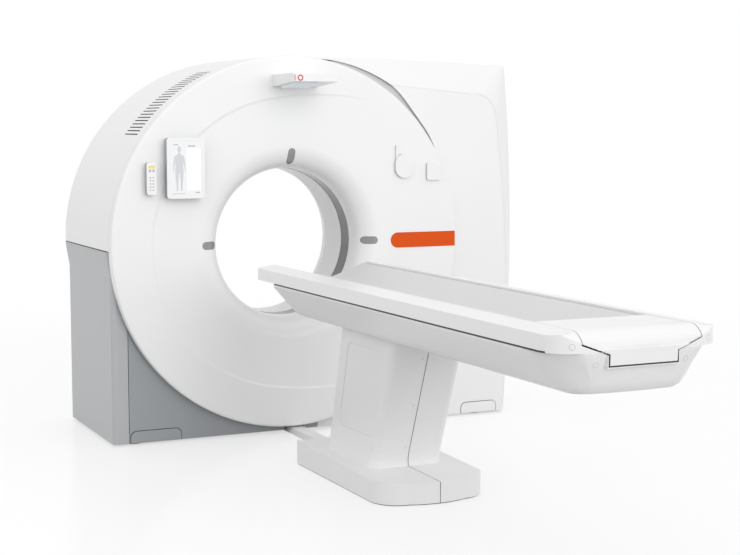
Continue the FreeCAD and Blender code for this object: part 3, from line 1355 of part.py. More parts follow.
def slide_drive():
    """Belt drive of the tabletop on the tub's floor."""
    z = TUB_BOTTOM_Z + TUB_WALL
    y0, y1 = SLIDE_BED_Y
    w = SLIDE_BED_W / 2
    arm = w - 24
    bed_z = z + SLIDE_BED_T
    top = z + SLIDE_H
    motor_y = y0 + 100
    bed = box(-w, w, y0, y1, z, bed_z)
    motor = turned_about(V(0, motor_y, z + SLIDE_MOTOR_R + 4), SLIDE_MOTOR_R, SLIDE_MOTOR_L)
    tower = box(-arm, arm, motor_y, motor_y + 20, bed_z, top)
    end = motor_y + SLIDE_MOTOR_L
    bridge = box(-arm, arm, end - 10, end + 50, bed_z, top)
    return bed.fuse(motor).fuse(bridge).fuse(tower)


# ---- Sliding tabletop ---------------------------------------------------------------


def board_section(top, half_w):
    """One surface of the curved board: round middle, straight sides."""
    a = math.radians(BOARD_SIDE_DEG)
    knee_x = BOARD_R * math.sin(a)
    knee_z = top + BOARD_R * (1 - math.cos(a))
    edge_z = knee_z + (half_w - knee_x) * math.tan(a)
    return knee_x, knee_z, edge_z


def cradle_board():
    """Curved carbon board with a runner under each side."""
    w = BOARD_HALF_W
    knee_x, knee_z, edge_z = board_section(BOARD_LOW_Z, w)
    low = BOARD_LOW_Z - BOARD_T
    _, low_knee, low_edge = board_section(low, w)
    y0 = CAP_HEAD_Y + BOARD_GAP
    board = prism([
        (-w, edge_z), (-w, low_edge), (-knee_x, low_knee), (0, low, knee_x, low_knee),
        (w, low_edge), (w, edge_z), (knee_x, knee_z), (0, BOARD_LOW_Z, -knee_x, knee_z),
    ], y0, NOSE_Y)
    z0 = SHELF_Z + SLIDE_GAP
    for x0, x1 in ((RUNNER_X0, RUNNER_X1), (-RUNNER_X1, -RUNNER_X0)):
        inner = min(abs(x0), abs(x1))
        top = board_section(low, inner)[2] + 4
        board = board.fuse(box(x0, x1, y0 + 6, NOSE_Y - 10, z0, top))
    return board


# ---- Build ---------------------------------------------------------------------------


def main():
    os.makedirs(OUT, exist_ok=True)
    blank = front_cover_blank()
    fill = cover_fill()
    save("front_cover", front_cover(blank))
    save("laser_window_right", laser_window(blank, 0))
    save("laser_window_top", laser_window(blank, 90))
    save("laser_window_left", laser_window(blank, 180))
    save("scan_window", scan_window())
    save("bore_liner", bore_liner())
    save("rear_cover", rear_cover())
    save("rear_panel", rear_panel())
    save("shell_vented", shell_vented())
    save("side_cover", side_cover())
    save("lower_panel", lower_panel())
    save("floor_flap_left", floor_flap(FLAP_LEFT))
    save("floor_flap_right", floor_flap(FLAP_RIGHT))
    save("wing_shell", wing_shell())
    save("wing_front", wing_front())
    save("reveal_panel", reveal_panel())
    save("badge_plate", badge_plate(fill))
    save("tablet_dock", tablet_dock(fill))
    save("tablet_case", tablet_case())
    save("tablet_screen", tablet_screen())
    save("remote_dock", remote_dock(fill))
    save("remote_case", remote_case())
    save("dock_oval", dock_oval(fill))
    save("dock_square", dock_square(fill))
    save("overhead_housing", overhead_housing(fill))
    save("overhead_ring", overhead_ring())
    save("overhead_lamp", overhead_lamp())
    save("base_frame", base_frame())
    save("stator_plate", stator_plate())
    save("bearing_outer", bearing_outer())
    save("drive_stator", drive_stator())
    save("brush_block", brush_block())
    save("fan_tray", fan_tray())
    save("power_cabinet", power_cabinet())
    save("rotor_plate", rotor_plate())
    save("bearing_inner", bearing_inner())
    save("drive_rotor", drive_rotor())
    save("slip_ring", slip_ring())
    save("xray_tube", xray_tube())
    save("collimator", collimator())
    save("detector_arc", detector_arc())
    save("hv_generator", side_unit(0.0, 7))
    save("cooling_unit", side_unit(180.0, 13))
    save("cable_duct", cable_duct())
    save("table_base_plate", table_base_plate())
    whole = pedestal_solid(0.0).cut(pedestal_solid(WALL))
    save("pedestal_right", pedestal_half(whole, 1))
    save("pedestal_left", pedestal_half(whole, -1))
    save("mast_outer", mast_outer())
    save("lift_drive", lift_drive())
    save("mast_inner", mast_inner())
    save("mast_head", mast_head())
    rail = rail_right()
    save("rail_right", rail)
    save("rail_left", mirrored(rail))
    save("tub_shell", tub_shell())
    lid = lid_solid()
    rim = rim_right(lid)
    save("rim_right", rim)
    save("rim_left", mirrored(rim))
    save("foot_cap", foot_cap(lid))
    save("slide_drive", slide_drive())
    save("cradle_board", cradle_board())


main()
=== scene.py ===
import math

import bmesh
import bpy
from mathutils import Matrix, Vector


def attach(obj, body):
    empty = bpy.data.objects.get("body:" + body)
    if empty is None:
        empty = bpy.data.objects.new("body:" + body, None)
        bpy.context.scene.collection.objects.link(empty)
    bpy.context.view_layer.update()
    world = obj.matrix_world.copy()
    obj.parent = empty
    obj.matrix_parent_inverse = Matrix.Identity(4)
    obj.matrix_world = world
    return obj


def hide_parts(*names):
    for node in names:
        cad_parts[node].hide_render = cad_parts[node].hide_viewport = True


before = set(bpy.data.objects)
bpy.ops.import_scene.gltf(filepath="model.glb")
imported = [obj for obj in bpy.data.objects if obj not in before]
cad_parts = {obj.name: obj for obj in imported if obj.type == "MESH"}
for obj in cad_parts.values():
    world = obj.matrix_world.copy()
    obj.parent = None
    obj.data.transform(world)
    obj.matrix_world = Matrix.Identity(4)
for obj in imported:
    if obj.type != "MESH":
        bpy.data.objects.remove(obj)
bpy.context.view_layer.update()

# ---- The view ------------------------------------------------------------------------
# A long lens from the table's foot end, left of the table and above its top, in a white
# studio with a pale floor. One soft box hangs overhead, a second stands at the left, and a
# wide sun fills in from the front.

WORLD_LIGHT = 0.92
FLOOR_HALF = 30.0
FLOOR_BOUNCE = 0.5
FLOOR_SHOWN = 1.0
FADE_FROM = 3.2
FADE_TO = 6.5
FADE_NEAR = 0.6

camera_data = bpy.data.cameras.new("View")
camera_data.sensor_width = 36.0
camera_data.lens = 72.67
camera = bpy.data.objects.new("View", camera_data)
camera.location = (-2.567, -6.331, 1.391)
camera.rotation_euler = (math.radians(84.33), 0.0, math.radians(-25.23))
bpy.context.scene.collection.objects.link(camera)
bpy.context.scene.camera = camera
bpy.context.scene.view_settings.view_transform = "Standard"


def link_nodes(tree, pairs):
    for out, into in pairs:
        tree.links.new(out, into)


def math_node(tree, operation, index=None, value=None):
    """A maths node, with one of its inputs fixed if an index is given."""
    node = tree.nodes.new("ShaderNodeMath")
    node.operation = operation
    if index is not None:
        node.inputs[index].default_value = value
    return node


def mesh_object(name, bm):
    """Puts a finished mesh in the scene as an object."""
    data = bpy.data.meshes.new(name)
    bm.to_mesh(data)
    bm.free()
    made = bpy.data.objects.new(name, data)
    bpy.context.scene.collection.objects.link(made)
    return made


def add_light(name, kind, facing, place=(0.0, 0.0, 0.0), **settings):
    """A lamp that shines along facing, with the settings of its own kind."""
    data = bpy.data.lights.new(name, kind)
    for setting, value in settings.items():
        setattr(data, setting, value)
    lamp = bpy.data.objects.new(name, data)
    lamp.location = place
    lamp.rotation_euler = Vector(facing).to_track_quat("-Z", "Y").to_euler()
    bpy.context.scene.collection.objects.link(lamp)


world = bpy.data.worlds.new("Studio")
world.use_nodes = True
bpy.context.scene.world = world
tree = world.node_tree
background = tree.nodes["Background"]
background.inputs["Color"].default_value = (1.0, 1.0, 1.0, 1.0)
rays = tree.nodes.new("ShaderNodeLightPath")
seen = math_node(tree, "MAXIMUM")
level = tree.nodes.new("ShaderNodeMapRange")
level.inputs["To Min"].default_value = WORLD_LIGHT
level.inputs["To Max"].default_value = 1.0
link_nodes(tree, (
    (rays.outputs["Is Camera Ray"], seen.inputs[0]),
    (rays.outputs["Is Transmission Ray"], seen.inputs[1]),
    (seen.outputs[0], level.inputs["Value"]),
    (level.outputs["Result"], background.inputs["Strength"]),
))

add_light("Overhead", "AREA", (-0.2, 0.8, -3.7), place=(0.2, -3.0, 4.0),
          shape="RECTANGLE", size=3.5, size_y=2.5, energy=4.0)
add_light("Left", "AREA", (6.5, 0.7, -1.7), place=(-6.5, -0.5, 2.6),
          shape="RECTANGLE", size=3.0, size_y=3.0, energy=30.0)
add_light("Front", "SUN", (-0.15, 1.0, -0.22), energy=1.0, angle=math.radians(50.0))

# The floor is pale where it is seen and darker in the light that it throws back. It fades
# out into the white of the studio.
floor_mesh = bmesh.new()
bmesh.ops.create_grid(floor_mesh, x_segments=1, y_segments=1, size=FLOOR_HALF)
floor = mesh_object("Floor", floor_mesh)
floor_paint = bpy.data.materials.new("Polished pale floor")
floor_paint.use_nodes = True
tree = floor_paint.node_tree
shader = tree.nodes["Principled BSDF"]
shader.inputs["Roughness"].default_value = 0.2
shader.inputs["Specular IOR Level"].default_value = 0.4
rays = tree.nodes.new("ShaderNodeLightPath")
direct = math_node(tree, "MAXIMUM")
shown = math_node(tree, "MAXIMUM")
tone = tree.nodes.new("ShaderNodeMapRange")
tone.inputs["To Min"].default_value = FLOOR_BOUNCE
tone.inputs["To Max"].default_value = FLOOR_SHOWN
place = tree.nodes.new("ShaderNodeTexCoord")
reach = tree.nodes.new("ShaderNodeVectorMath")
reach.operation = "LENGTH"
fade = tree.nodes.new("ShaderNodeMapRange")
fade.interpolation_type = "SMOOTHSTEP"
fade.inputs["From Min"].default_value = FADE_FROM
fade.inputs["From Max"].default_value = FADE_TO
fade.inputs["To Min"].default_value = FADE_NEAR
far = math_node(tree, "MULTIPLY")
paper = tree.nodes.new("ShaderNodeEmission")
blend = tree.nodes.new("ShaderNodeMixShader")
link_nodes(tree, (
    (rays.outputs["Is Camera Ray"], direct.inputs[0]),
    (rays.outputs["Is Glossy Ray"], direct.inputs[1]),
    (direct.outputs[0], shown.inputs[0]),
    (rays.outputs["Is Transmission Ray"], shown.inputs[1]),
    (shown.outputs[0], tone.inputs["Value"]),
    (tone.outputs["Result"], shader.inputs["Base Color"]),
    (place.outputs["Object"], reach.inputs[0]),
    (reach.outputs["Value"], fade.inputs["Value"]),
    (fade.outputs["Result"], far.inputs[0]),
    (shown.outputs[0], far.inputs[1]),
    (far.outputs[0], blend.inputs["Fac"]),
    (shader.outputs[0], blend.inputs[1]),
    (paper.outputs[0], blend.inputs[2]),
    (blend.outputs[0], tree.nodes["Material Output"].inputs["Surface"]),
))
floor.data.materials.append(floor_paint)

# ---- Dished front cover --------------------------------------------------------------
# One large moulding in white gloss plastic: a flat outer ring with a round edge, a faint
# step, and a shallow dish whose lip rolls into the bore. It is turned from its real profile.

BORE_Z = 0.876
BORE_R = 0.340
DISC_R = 0.844
FACE_Y = -0.062
SEAM_Y = -0.0205
EDGE_R = 0.010
EDGE_MIDDLE = 0.293
EDGE_STEPS = 5
CREASE_R = 0.660
CREASE_STEP = (0.0045, 0.0022)
LIP_ROUND = 0.100
LIP_Y = -0.058
LIP_STEPS = 18
DISH_POINTS = (0.02, 0.5)
FLAT_MARGIN = 0.004
CREASE_OPENS = (100.0, 55.0)
CREASE_REACH = 0.117
CREASE_FADES = (80.0, 56.0)
CREASE_BAND = (-0.012, FLAT_MARGIN + 0.001)
FACE_SLACK = 0.0003
BAND_Y0 = 0.073
COVER_WALL = 0.004
TURN_STEPS = 192
SMOOTH_ANGLE = 32.0
GRAIN_SCALE = 900.0
GRAIN_DEPTH = 0.00003
GLOSS_SPREAD = (0.88, 1.12)
BORE_AXIS = Vector((0.0, 1.0, 0.0))
BORE_CENTRE = Vector((0.0, 0.0, BORE_Z))


def arc(start, middle, end, steps):
    """Points after start on the circle through three points of a plane."""
    a, m, b = Vector(start), Vector(middle), Vector(end)
    turn = 2.0 * (a.x * (m.y - b.y) + m.x * (b.y - a.y) + b.x * (a.y - m.y))
    aa, mm, bb = a.length_squared, m.length_squared, b.length_squared
    centre = Vector((
        (aa * (m.y - b.y) + mm * (b.y - a.y) + bb * (a.y - m.y)) / turn,
        (aa * (b.x - m.x) + mm * (a.x - b.x) + bb * (m.x - a.x)) / turn))
    sweep = (a - centre).angle_signed(b - centre)
    half = (a - centre).angle_signed(m - centre)
    if sweep * half < 0 or abs(half) > abs(sweep):
        sweep -= math.copysign(2.0 * math.pi, sweep)
    return [centre + Matrix.Rotation(-sweep * i / steps, 2) @ (a - centre)
            for i in range(1, steps + 1)]


def new_piece(name, bm, material, body, nodes=(), smooth_angle=SMOOTH_ANGLE):
    """Puts a mesh in the scene as one piece with smooth shading up to an angle."""
    limit = math.radians(smooth_angle)
    for face in bm.faces:
        face.smooth = True
    for edge in bm.edges:
        if len(edge.link_faces) == 2 and edge.calc_face_angle(0.0) > limit:
            edge.smooth = False
    piece = mesh_object(name, bm)
    piece.data.materials.append(material)
    if nodes:
        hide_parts(*nodes)
    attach(piece, body)
    return piece


def turned(profile, steps=TURN_STEPS, start=0.0, sweep=math.tau):
    """A closed (radius, y) profile turned about the bore axis, from +X towards +Z."""
    bm = bmesh.new()
    rim = [bm.verts.new((r, y, BORE_Z)) for r, y in profile]
    edges = [bm.edges.new((rim[i - 1], rim[i])) for i in range(len(rim))]
    first = Matrix.Rotation(-start, 4, "Y")
    bmesh.ops.transform(bm, matrix=first, space=Matrix.Translation(-BORE_CENTRE), verts=rim)
    full = abs(sweep - math.tau) < 1e-6
    bmesh.ops.spin(bm, geom=rim + edges, cent=BORE_CENTRE, axis=-BORE_AXIS, dvec=(0, 0, 0),
                   angle=sweep, steps=steps, use_merge=full, use_duplicate=False)
    if not full:
        bmesh.ops.holes_fill(bm, edges=bm.edges, sides=0)
    bmesh.ops.recalc_face_normals(bm, faces=bm.faces)
    return bm


def noise_node(tree, scale, detail):
    node = tree.nodes.new("ShaderNodeTexNoise")
    node.inputs["Scale"].default_value = scale
    node.inputs["Detail"].default_value = detail
    return node


def surface_group():
    """Fine moulded grain and the slight unevenness of a painted or moulded surface."""
    group = bpy.data.node_groups.new("Moulded surface", "ShaderNodeTree")
    sockets = group.interface
    colour = sockets.new_socket("Color", in_out="INPUT", socket_type="NodeSocketColor")
    colour.default_value = (0.8, 0.8, 0.8, 1.0)
    for label, value in (("Grain scale", GRAIN_SCALE), ("Grain depth", GRAIN_DEPTH),
                         ("Roughness", 0.35), ("Unevenness", 0.015)):
        socket = sockets.new_socket(label, in_out="INPUT", socket_type="NodeSocketFloat")
        socket.default_value = value
    for label, kind in (("Color", "Color"), ("Roughness", "Float"), ("Normal", "Vector")):
        sockets.new_socket(label, in_out="OUTPUT", socket_type="NodeSocket" + kind)
    given = group.nodes.new("NodeGroupInput")
    out = group.nodes.new("NodeGroupOutput")
    place = group.nodes.new("ShaderNodeTexCoord")
    cloud = noise_node(group, scale=2.3, detail=3.0)
    gloss = noise_node(group, scale=38.0, detail=4.0)
    grain = noise_node(group, scale=GRAIN_SCALE, detail=2.0)
    spread = math_node(group, "SUBTRACT", 1, 0.5)
    tone = math_node(group, "MULTIPLY_ADD", 2, 1.0)
    tint = group.nodes.new("ShaderNodeVectorMath")
    tint.operation = "SCALE"
    lower, upper = (math_node(group, "MULTIPLY", 1, share) for share in GLOSS_SPREAD)
    rough = group.nodes.new("ShaderNodeMapRange")
    bump = group.nodes.new("ShaderNodeBump")
    bump.inputs["Strength"].default_value = 0.35
    link_nodes(group, (
        (place.outputs["Object"], cloud.inputs["Vector"]),
        (place.outputs["Object"], gloss.inputs["Vector"]),
        (place.outputs["Object"], grain.inputs["Vector"]),
        (given.outputs["Grain scale"], grain.inputs["Scale"]),
        (cloud.outputs["Fac"], spread.inputs[0]),
        (spread.outputs[0], tone.inputs[0]),
        (given.outputs["Unevenness"], tone.inputs[1]),
        (given.outputs["Color"], tint.inputs[0]),
        (tone.outputs[0], tint.inputs["Scale"]),
        (tint.outputs[0], out.inputs["Color"]),
        (given.outputs["Roughness"], lower.inputs[0]),
        (given.outputs["Roughness"], upper.inputs[0]),
        (gloss.outputs["Fac"], rough.inputs["Value"]),
        (lower.outputs[0], rough.inputs["To Min"]),
        (upper.outputs[0], rough.inputs["To Max"]),
        (rough.outputs["Result"], out.inputs["Roughness"]),
        (grain.outputs["Fac"], bump.inputs["Height"]),
        (given.outputs["Grain depth"], bump.inputs["Distance"]),
        (bump.outputs["Normal"], out.inputs["Normal"]),
    ))
    return group


moulded_surface = surface_group()


def moulded(name, colour, roughness=0.35, scale=GRAIN_SCALE, depth=GRAIN_DEPTH, uneven=0.03,
            metallic=0.0, coat=0.0):
    """A moulded, painted or machined finish on its own Principled shader."""
    material = bpy.data.materials.new(name)
    material.use_nodes = True
    nodes = material.node_tree.nodes
    shader = nodes["Principled BSDF"]
    shader.inputs["Metallic"].default_value = metallic
    shader.inputs["Coat Weight"].default_value = coat
    shader.inputs["Coat Roughness"].default_value = 0.12
    skin = nodes.new("ShaderNodeGroup")
    skin.node_tree = moulded_surface
    for label, value in (("Color", (*colour, 1.0)), ("Grain scale", scale),
                         ("Grain depth", depth), ("Roughness", roughness),
                         ("Unevenness", uneven)):
        skin.inputs[label].default_value = value
    link_nodes(material.node_tree, (
        (skin.outputs["Color"], shader.inputs["Base Color"]),
        (skin.outputs["Roughness"], shader.inputs["Roughness"]),
        (skin.outputs["Normal"], shader.inputs["Normal"]),
    ))
    return material


def cover_profile():
    """Outer skin from the seam to the bore, then back along the inside of the wall.

    Points close to each bend keep the flat parts flat under smooth shading.
    """
    t = COVER_WALL
    m = FLAT_MARGIN
    edge_middle = (DISC_R - EDGE_R * EDGE_MIDDLE, FACE_Y + EDGE_R * EDGE_MIDDLE)
    lip_r = BORE_R + LIP_ROUND
    lip_end = LIP_Y + LIP_ROUND
    k = LIP_ROUND * math.sqrt(0.5)
    step_in, step_back = CREASE_STEP
    foot = Vector((CREASE_R - step_in, FACE_Y + step_back))
    lip = Vector((lip_r, LIP_Y))
    outer = [Vector((DISC_R, SEAM_Y)), Vector((DISC_R, FACE_Y + EDGE_R + m)),
             Vector((DISC_R, FACE_Y + EDGE_R))]
    outer += arc(outer[-1], edge_middle, (DISC_R - EDGE_R, FACE_Y), EDGE_STEPS)
    outer += [Vector((DISC_R - EDGE_R - m, FACE_Y)), Vector((CREASE_R + m, FACE_Y)),
              Vector((CREASE_R, FACE_Y)), foot]
    outer += [foot.lerp(lip, share) for share in DISH_POINTS] + [lip]
    roll = arc(lip, (lip_r - k, lip_end - k), (BORE_R, lip_end), LIP_STEPS)
    inner = [Vector((BORE_R, BAND_Y0)), Vector((BORE_R + t, BAND_Y0)),
             Vector((BORE_R + t, lip_end))]
    inner += [p + (Vector((lip_r, lip_end)) - p).normalized() * t for p in reversed(roll[:-1])]
    inner += [lip + Vector((0, t)), Vector((CREASE_R + t, FACE_Y + t)),
              Vector((DISC_R - EDGE_R, FACE_Y + t)), Vector((DISC_R - t, FACE_Y + EDGE_R)),
              Vector((DISC_R - t, SEAM_Y))]
    return outer + roll + inner


def open_crease(bm):
    """Lets the crease run out to the right: its ends leave the circle and fade away."""
    start, end = CREASE_OPENS
    full, gone = CREASE_FADES
    for vert in bm.verts:
        across = Vector((vert.co.x, 0.0, vert.co.z - BORE_Z))
        from_crease = across.length - CREASE_R
        on_face = vert.co.y < FACE_Y + CREASE_STEP[1] + FACE_SLACK
        if not (on_face and CREASE_BAND[0] < from_crease < CREASE_BAND[1]):
            continue
        turn = abs(math.degrees(math.atan2(across.z, across.x)))
        share = min(1.0, max(0.0, (start - turn) / (start - end)))
        depth = min(1.0, max(0.0, (turn - gone) / (full - gone)))
        vert.co += across.normalized() * CREASE_REACH * share ** 2
        vert.co.y = FACE_Y + (vert.co.y - FACE_Y) * depth


white_cover = moulded("White gloss cover", (0.865, 0.865, 0.866), roughness=0.34, coat=0.2)
cover_mesh = turned(cover_profile())
open_crease(cover_mesh)
front_cover = new_piece("front_cover_skin", cover_mesh, white_cover, "gantry",
                        ["front_cover"])

# ---- Laser windows -------------------------------------------------------------------
# Three slots in the funnel, at the top and at both sides, each closed by a smoked lens
# that sits a little below the cover. The positioning lines shine through them.

LASER_REACH = (0.357, 0.430)
LASER_WIDTH = 0.036
LASER_CUT_Y = (-0.10, BAND_Y0 - 0.002)
LASER_ARC_STEPS = 48
LENS_DROP = 0.0022
MERGE_GAP = 1e-6


def pull_faces(bm, faces, offset):
    """Draws faces out into a solid and returns the points of its far end."""
    pulled = bmesh.ops.extrude_face_region(bm, geom=faces)
    moved = [v for v in pulled["geom"] if isinstance(v, bmesh.types.BMVert)]
    bmesh.ops.translate(bm, verts=moved, vec=offset)
    return moved


def stadium(reach, width, y_reach, degrees):
    """A bar with round ends that runs outwards from the bore, cut off by two planes."""
    h = width / 2
    low, high = reach
    near, deep = y_reach
    bm = bmesh.new()
    bmesh.ops.create_circle(bm, cap_ends=True, radius=h, segments=LASER_ARC_STEPS,
                            matrix=Matrix.Rotation(math.radians(90.0), 4, "X"))
    for vert in bm.verts:
        vert.co.x += (high - h) if vert.co.x > 0 else (low + h)
    bm.transform(Matrix.Translation((0.0, near, BORE_Z)))
    pull_faces(bm, list(bm.faces), (0.0, deep - near, 0.0))
    bmesh.ops.rotate(bm, verts=bm.verts, cent=BORE_CENTRE,
                     matrix=Matrix.Rotation(math.radians(-degrees), 3, "Y"))
    bmesh.ops.recalc_face_normals(bm, faces=bm.faces)
    return bm


def cut_away(piece, cutter_mesh):
    """Cuts a shape out of a piece for good."""
    cutter = mesh_object("cutter", cutter_mesh)
    cut = piece.modifiers.new("Cut", "BOOLEAN")
    cut.operation = "DIFFERENCE"
    cut.solver = "EXACT"
    cut.object = cutter
    graph = bpy.context.evaluated_depsgraph_get()
    done = bpy.data.meshes.new_from_object(piece.evaluated_get(graph), depsgraph=graph)
    piece.modifiers.clear()
    piece.data = done
    bpy.data.objects.remove(cutter)


smoked_lens = moulded("Smoked lens", (0.27, 0.28, 0.285), roughness=0.2, coat=0.5)
for side, degrees in (("right", 0.0), ("top", 90.0), ("left", 180.0)):
    cut_away(front_cover, stadium(LASER_REACH, LASER_WIDTH, LASER_CUT_Y, degrees))
    node = "laser_window_" + side
    lens_mesh = bmesh.new()
    lens_mesh.from_mesh(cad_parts[node].data)
    bmesh.ops.remove_doubles(lens_mesh, verts=lens_mesh.verts, dist=MERGE_GAP)
    turn = math.radians(degrees)
    outward = Vector((math.cos(turn), 0.0, math.sin(turn)))
    bmesh.ops.translate(lens_mesh, verts=lens_mesh.verts,
                        vec=outward * LENS_DROP * 0.5 + Vector((0.0, LENS_DROP, 0.0)))
    new_piece("laser_lens_" + side, lens_mesh, smoked_lens, "gantry", [node])

# ---- Bore: scan window, liner and rear cover -----------------------------------------
# A dark translucent ring lies in the bore where the beam passes, a little deeper than the
# skin on both sides. Behind it a plain white liner leads to the rear funnel.

BAND_Y1 = 0.165
BAND_R = 0.3415
BAND_WALL = 0.004
BAND_GAP = 0.0006
LINER_END = 0.350
LINER_WALL = 0.004
FLANGE_R = BORE_R + 0.014
FLANGE_Y = BAND_Y1 + 0.004


def paint(material, *nodes):
    """Gives the solids that have no piece of their own a material."""
    for name in nodes:
        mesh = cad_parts[name].data
        mesh.materials.clear()
        mesh.materials.append(material)


scan_black = moulded("Smoked scan window", (0.085, 0.088, 0.092), roughness=0.22, coat=0.3)
band_mesh = turned([(BAND_R, BAND_Y0 + BAND_GAP), (BAND_R + BAND_WALL, BAND_Y0 + BAND_GAP),
                    (BAND_R + BAND_WALL, BAND_Y1 - BAND_GAP), (BAND_R, BAND_Y1 - BAND_GAP)])
new_piece("scan_window_band", band_mesh, scan_black, "gantry", ["scan_window"])

liner_mesh = turned([(BORE_R, BAND_Y1), (FLANGE_R, BAND_Y1), (FLANGE_R, FLANGE_Y),
                     (BORE_R + LINER_WALL, FLANGE_Y), (BORE_R + LINER_WALL, LINER_END),
                     (BORE_R, LINER_END)])
new_piece("bore_liner_skin", liner_mesh, white_cover, "gantry", ["bore_liner"])
paint(white_cover, "rear_cover")

# ---- Vented shell --------------------------------------------------------------------
# The round body behind the front cover, moulded in white. It ends above the grey side cover
# on the left and at the wing on the right, and a row of slots lets out the warm air.

SHELL_FRONT_Y = -0.0185
SHELL_REAR_Y = 0.723
SHELL_REAR_R = 0.848
SHELL_LEFT_Z = 0.862
SHELL_RIGHT_X = 0.175
SHELL_FROM = math.radians(70.0)
SHELL_SWEEP = math.radians(118.0)
SHELL_STEPS = 120
VENT_COUNT = 24
VENT_FIRST = 144.3
VENT_PITCH = 1.3
VENT_SPAN = (0.050, 0.243)
VENT_WIDTH = 0.006
VENT_ARC_STEPS = 16
VENT_CUT_R = DISC_R - 0.02
VENT_CUT_DEPTH = 0.05
VENT_SLACK = 0.001

shell_mesh = turned([(DISC_R, SHELL_FRONT_Y), (SHELL_REAR_R, SHELL_REAR_Y),
                     (SHELL_REAR_R - COVER_WALL, SHELL_REAR_Y),
                     (DISC_R - COVER_WALL, SHELL_FRONT_Y)],
                    steps=SHELL_STEPS, start=SHELL_FROM, sweep=SHELL_SWEEP)
for at, away in (((0.0, 0.0, SHELL_LEFT_Z), (0.0, 0.0, -1.0)),
                 ((SHELL_RIGHT_X, 0.0, 0.0), (1.0, 0.0, 0.0))):
    cut = bmesh.ops.bisect_plane(
        shell_mesh, geom=shell_mesh.verts[:] + shell_mesh.edges[:] + shell_mesh.faces[:],
        plane_co=at, plane_no=away, clear_outer=True)
    rim = [e for e in cut["geom_cut"] if isinstance(e, bmesh.types.BMEdge)]
    bmesh.ops.contextual_create(shell_mesh, geom=rim)
vented_shell = new_piece("shell_vented_skin", shell_mesh, white_cover, "gantry",
                         ["shell_vented"])

vents = bmesh.new()
for index in range(VENT_COUNT):
    ring = bmesh.ops.create_circle(vents, cap_ends=True, radius=VENT_WIDTH / 2,
                                   segments=VENT_ARC_STEPS,
                                   matrix=Matrix.Rotation(math.radians(90.0), 4, "Y"))["verts"]
    for vert in ring:
        end, inwards = (VENT_SPAN[1], -1) if vert.co.y > 0 else (VENT_SPAN[0], 1)
        vert.co += Vector((VENT_CUT_R, end + inwards * VENT_WIDTH / 2, BORE_Z))
    far_ring = pull_faces(vents, ring[0].link_faces[:], (VENT_CUT_DEPTH, 0.0, 0.0))
    turn = math.radians(-(VENT_FIRST - index * VENT_PITCH))
    bmesh.ops.rotate(vents, verts=ring + far_ring, cent=BORE_CENTRE,
                     matrix=Matrix.Rotation(turn, 3, "Y"))
bmesh.ops.recalc_face_normals(vents, faces=vents.faces)
cut_away(vented_shell, vents)

# The walls of the slots are painted dark as the shade in them.
joint_shade = moulded("Joint shade", (0.05, 0.052, 0.055), roughness=0.6)
vented_shell.data.materials.append(joint_shade)
for face in vented_shell.data.polygons:
    across = face.center - BORE_CENTRE
    outward = Vector((across.x, 0.0, across.z)).normalized()
    in_vents = VENT_SPAN[0] - VENT_SLACK < face.center.y < VENT_SPAN[1] + VENT_SLACK
    if in_vents and abs(face.normal.dot(outward)) < 0.5:
        face.material_index = 1

# ---- Grey side and lower covers ------------------------------------------------------
# Painted grey mouldings down to the floor: a side cover with a flared upper facet, and a
# darker front panel under the round cover, with a flap over its levelling foot.

SIDE_EDGE = 0.0012
PANEL_EDGE = 0.0008
FLAP_EDGE = 0.0006
FLAP_LINE = 0.0018
CRISP_ANGLE = math.radians(35.0)
FLAT_ANGLE = math.radians(0.5)
COPY_SMOOTH_ANGLE = 40.0


def crisp_edges(bm):
    """Edges with a real bend, apart from those of a chamfer that is already there."""
    return [e for e in bm.edges
            if len(e.link_faces) == 2 and e.calc_face_angle(0.0) > CRISP_ANGLE
            and not any(face.material_index for face in e.link_faces)]


def rounded_copy(node, material, width, segments=2, body="gantry", lines=(),
                 shape=None):
    """A CAD piece with its moulded edges rounded, shown in place of the plain solid.

    Each of the lines is a test, a width and a material. Edges that pass the test get a flat
    chamfer of that width and material, or stay sharp where the width is 0.
    """
    bm = bmesh.new()
    bm.from_mesh(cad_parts[node].data)
    if shape:
        shape(bm)
    bmesh.ops.remove_doubles(bm, verts=bm.verts, dist=MERGE_GAP)
    bmesh.ops.dissolve_limit(bm, angle_limit=FLAT_ANGLE, verts=bm.verts, edges=bm.edges)
    for index, (chosen, reach, _) in enumerate(lines, start=1):
        if reach:
            bmesh.ops.bevel(bm, geom=[e for e in crisp_edges(bm) if chosen(e)], offset=reach,
                            offset_type="OFFSET", segments=1, affect="EDGES",
                            clamp_overlap=True, material=index)
    sharp = [chosen for chosen, reach, _ in lines if not reach]
    crisp = [e for e in crisp_edges(bm) if not any(chosen(e) for chosen in sharp)]
    bmesh.ops.bevel(bm, geom=crisp, offset=width, offset_type="OFFSET", segments=segments,
                    profile=0.5, affect="EDGES", clamp_overlap=True, material=-1)
    piece = new_piece(node + "_skin", bm, material, body, [node],
                      smooth_angle=COPY_SMOOTH_ANGLE)
    for _, _, line_material in lines:
        piece.data.materials.append(line_material)
    even = piece.modifiers.new("Even shading", "WEIGHTED_NORMAL")
    even.keep_sharp = True
    return piece


side_grey = moulded("Grey side paint", (0.455, 0.465, 0.48), roughness=0.38, coat=0.1)
front_grey = moulded("Darker front grey", (0.33, 0.345, 0.36), roughness=0.4, coat=0.1)
# The flaps' outlines are chamfers painted as the shade of their joints.
flap_lines = [(lambda edge: True, FLAP_LINE, joint_shade)]
rounded_copy("side_cover", side_grey, SIDE_EDGE)
rounded_copy("lower_panel", front_grey, PANEL_EDGE)
rounded_copy("floor_flap_left", front_grey, FLAP_EDGE, lines=flap_lines)
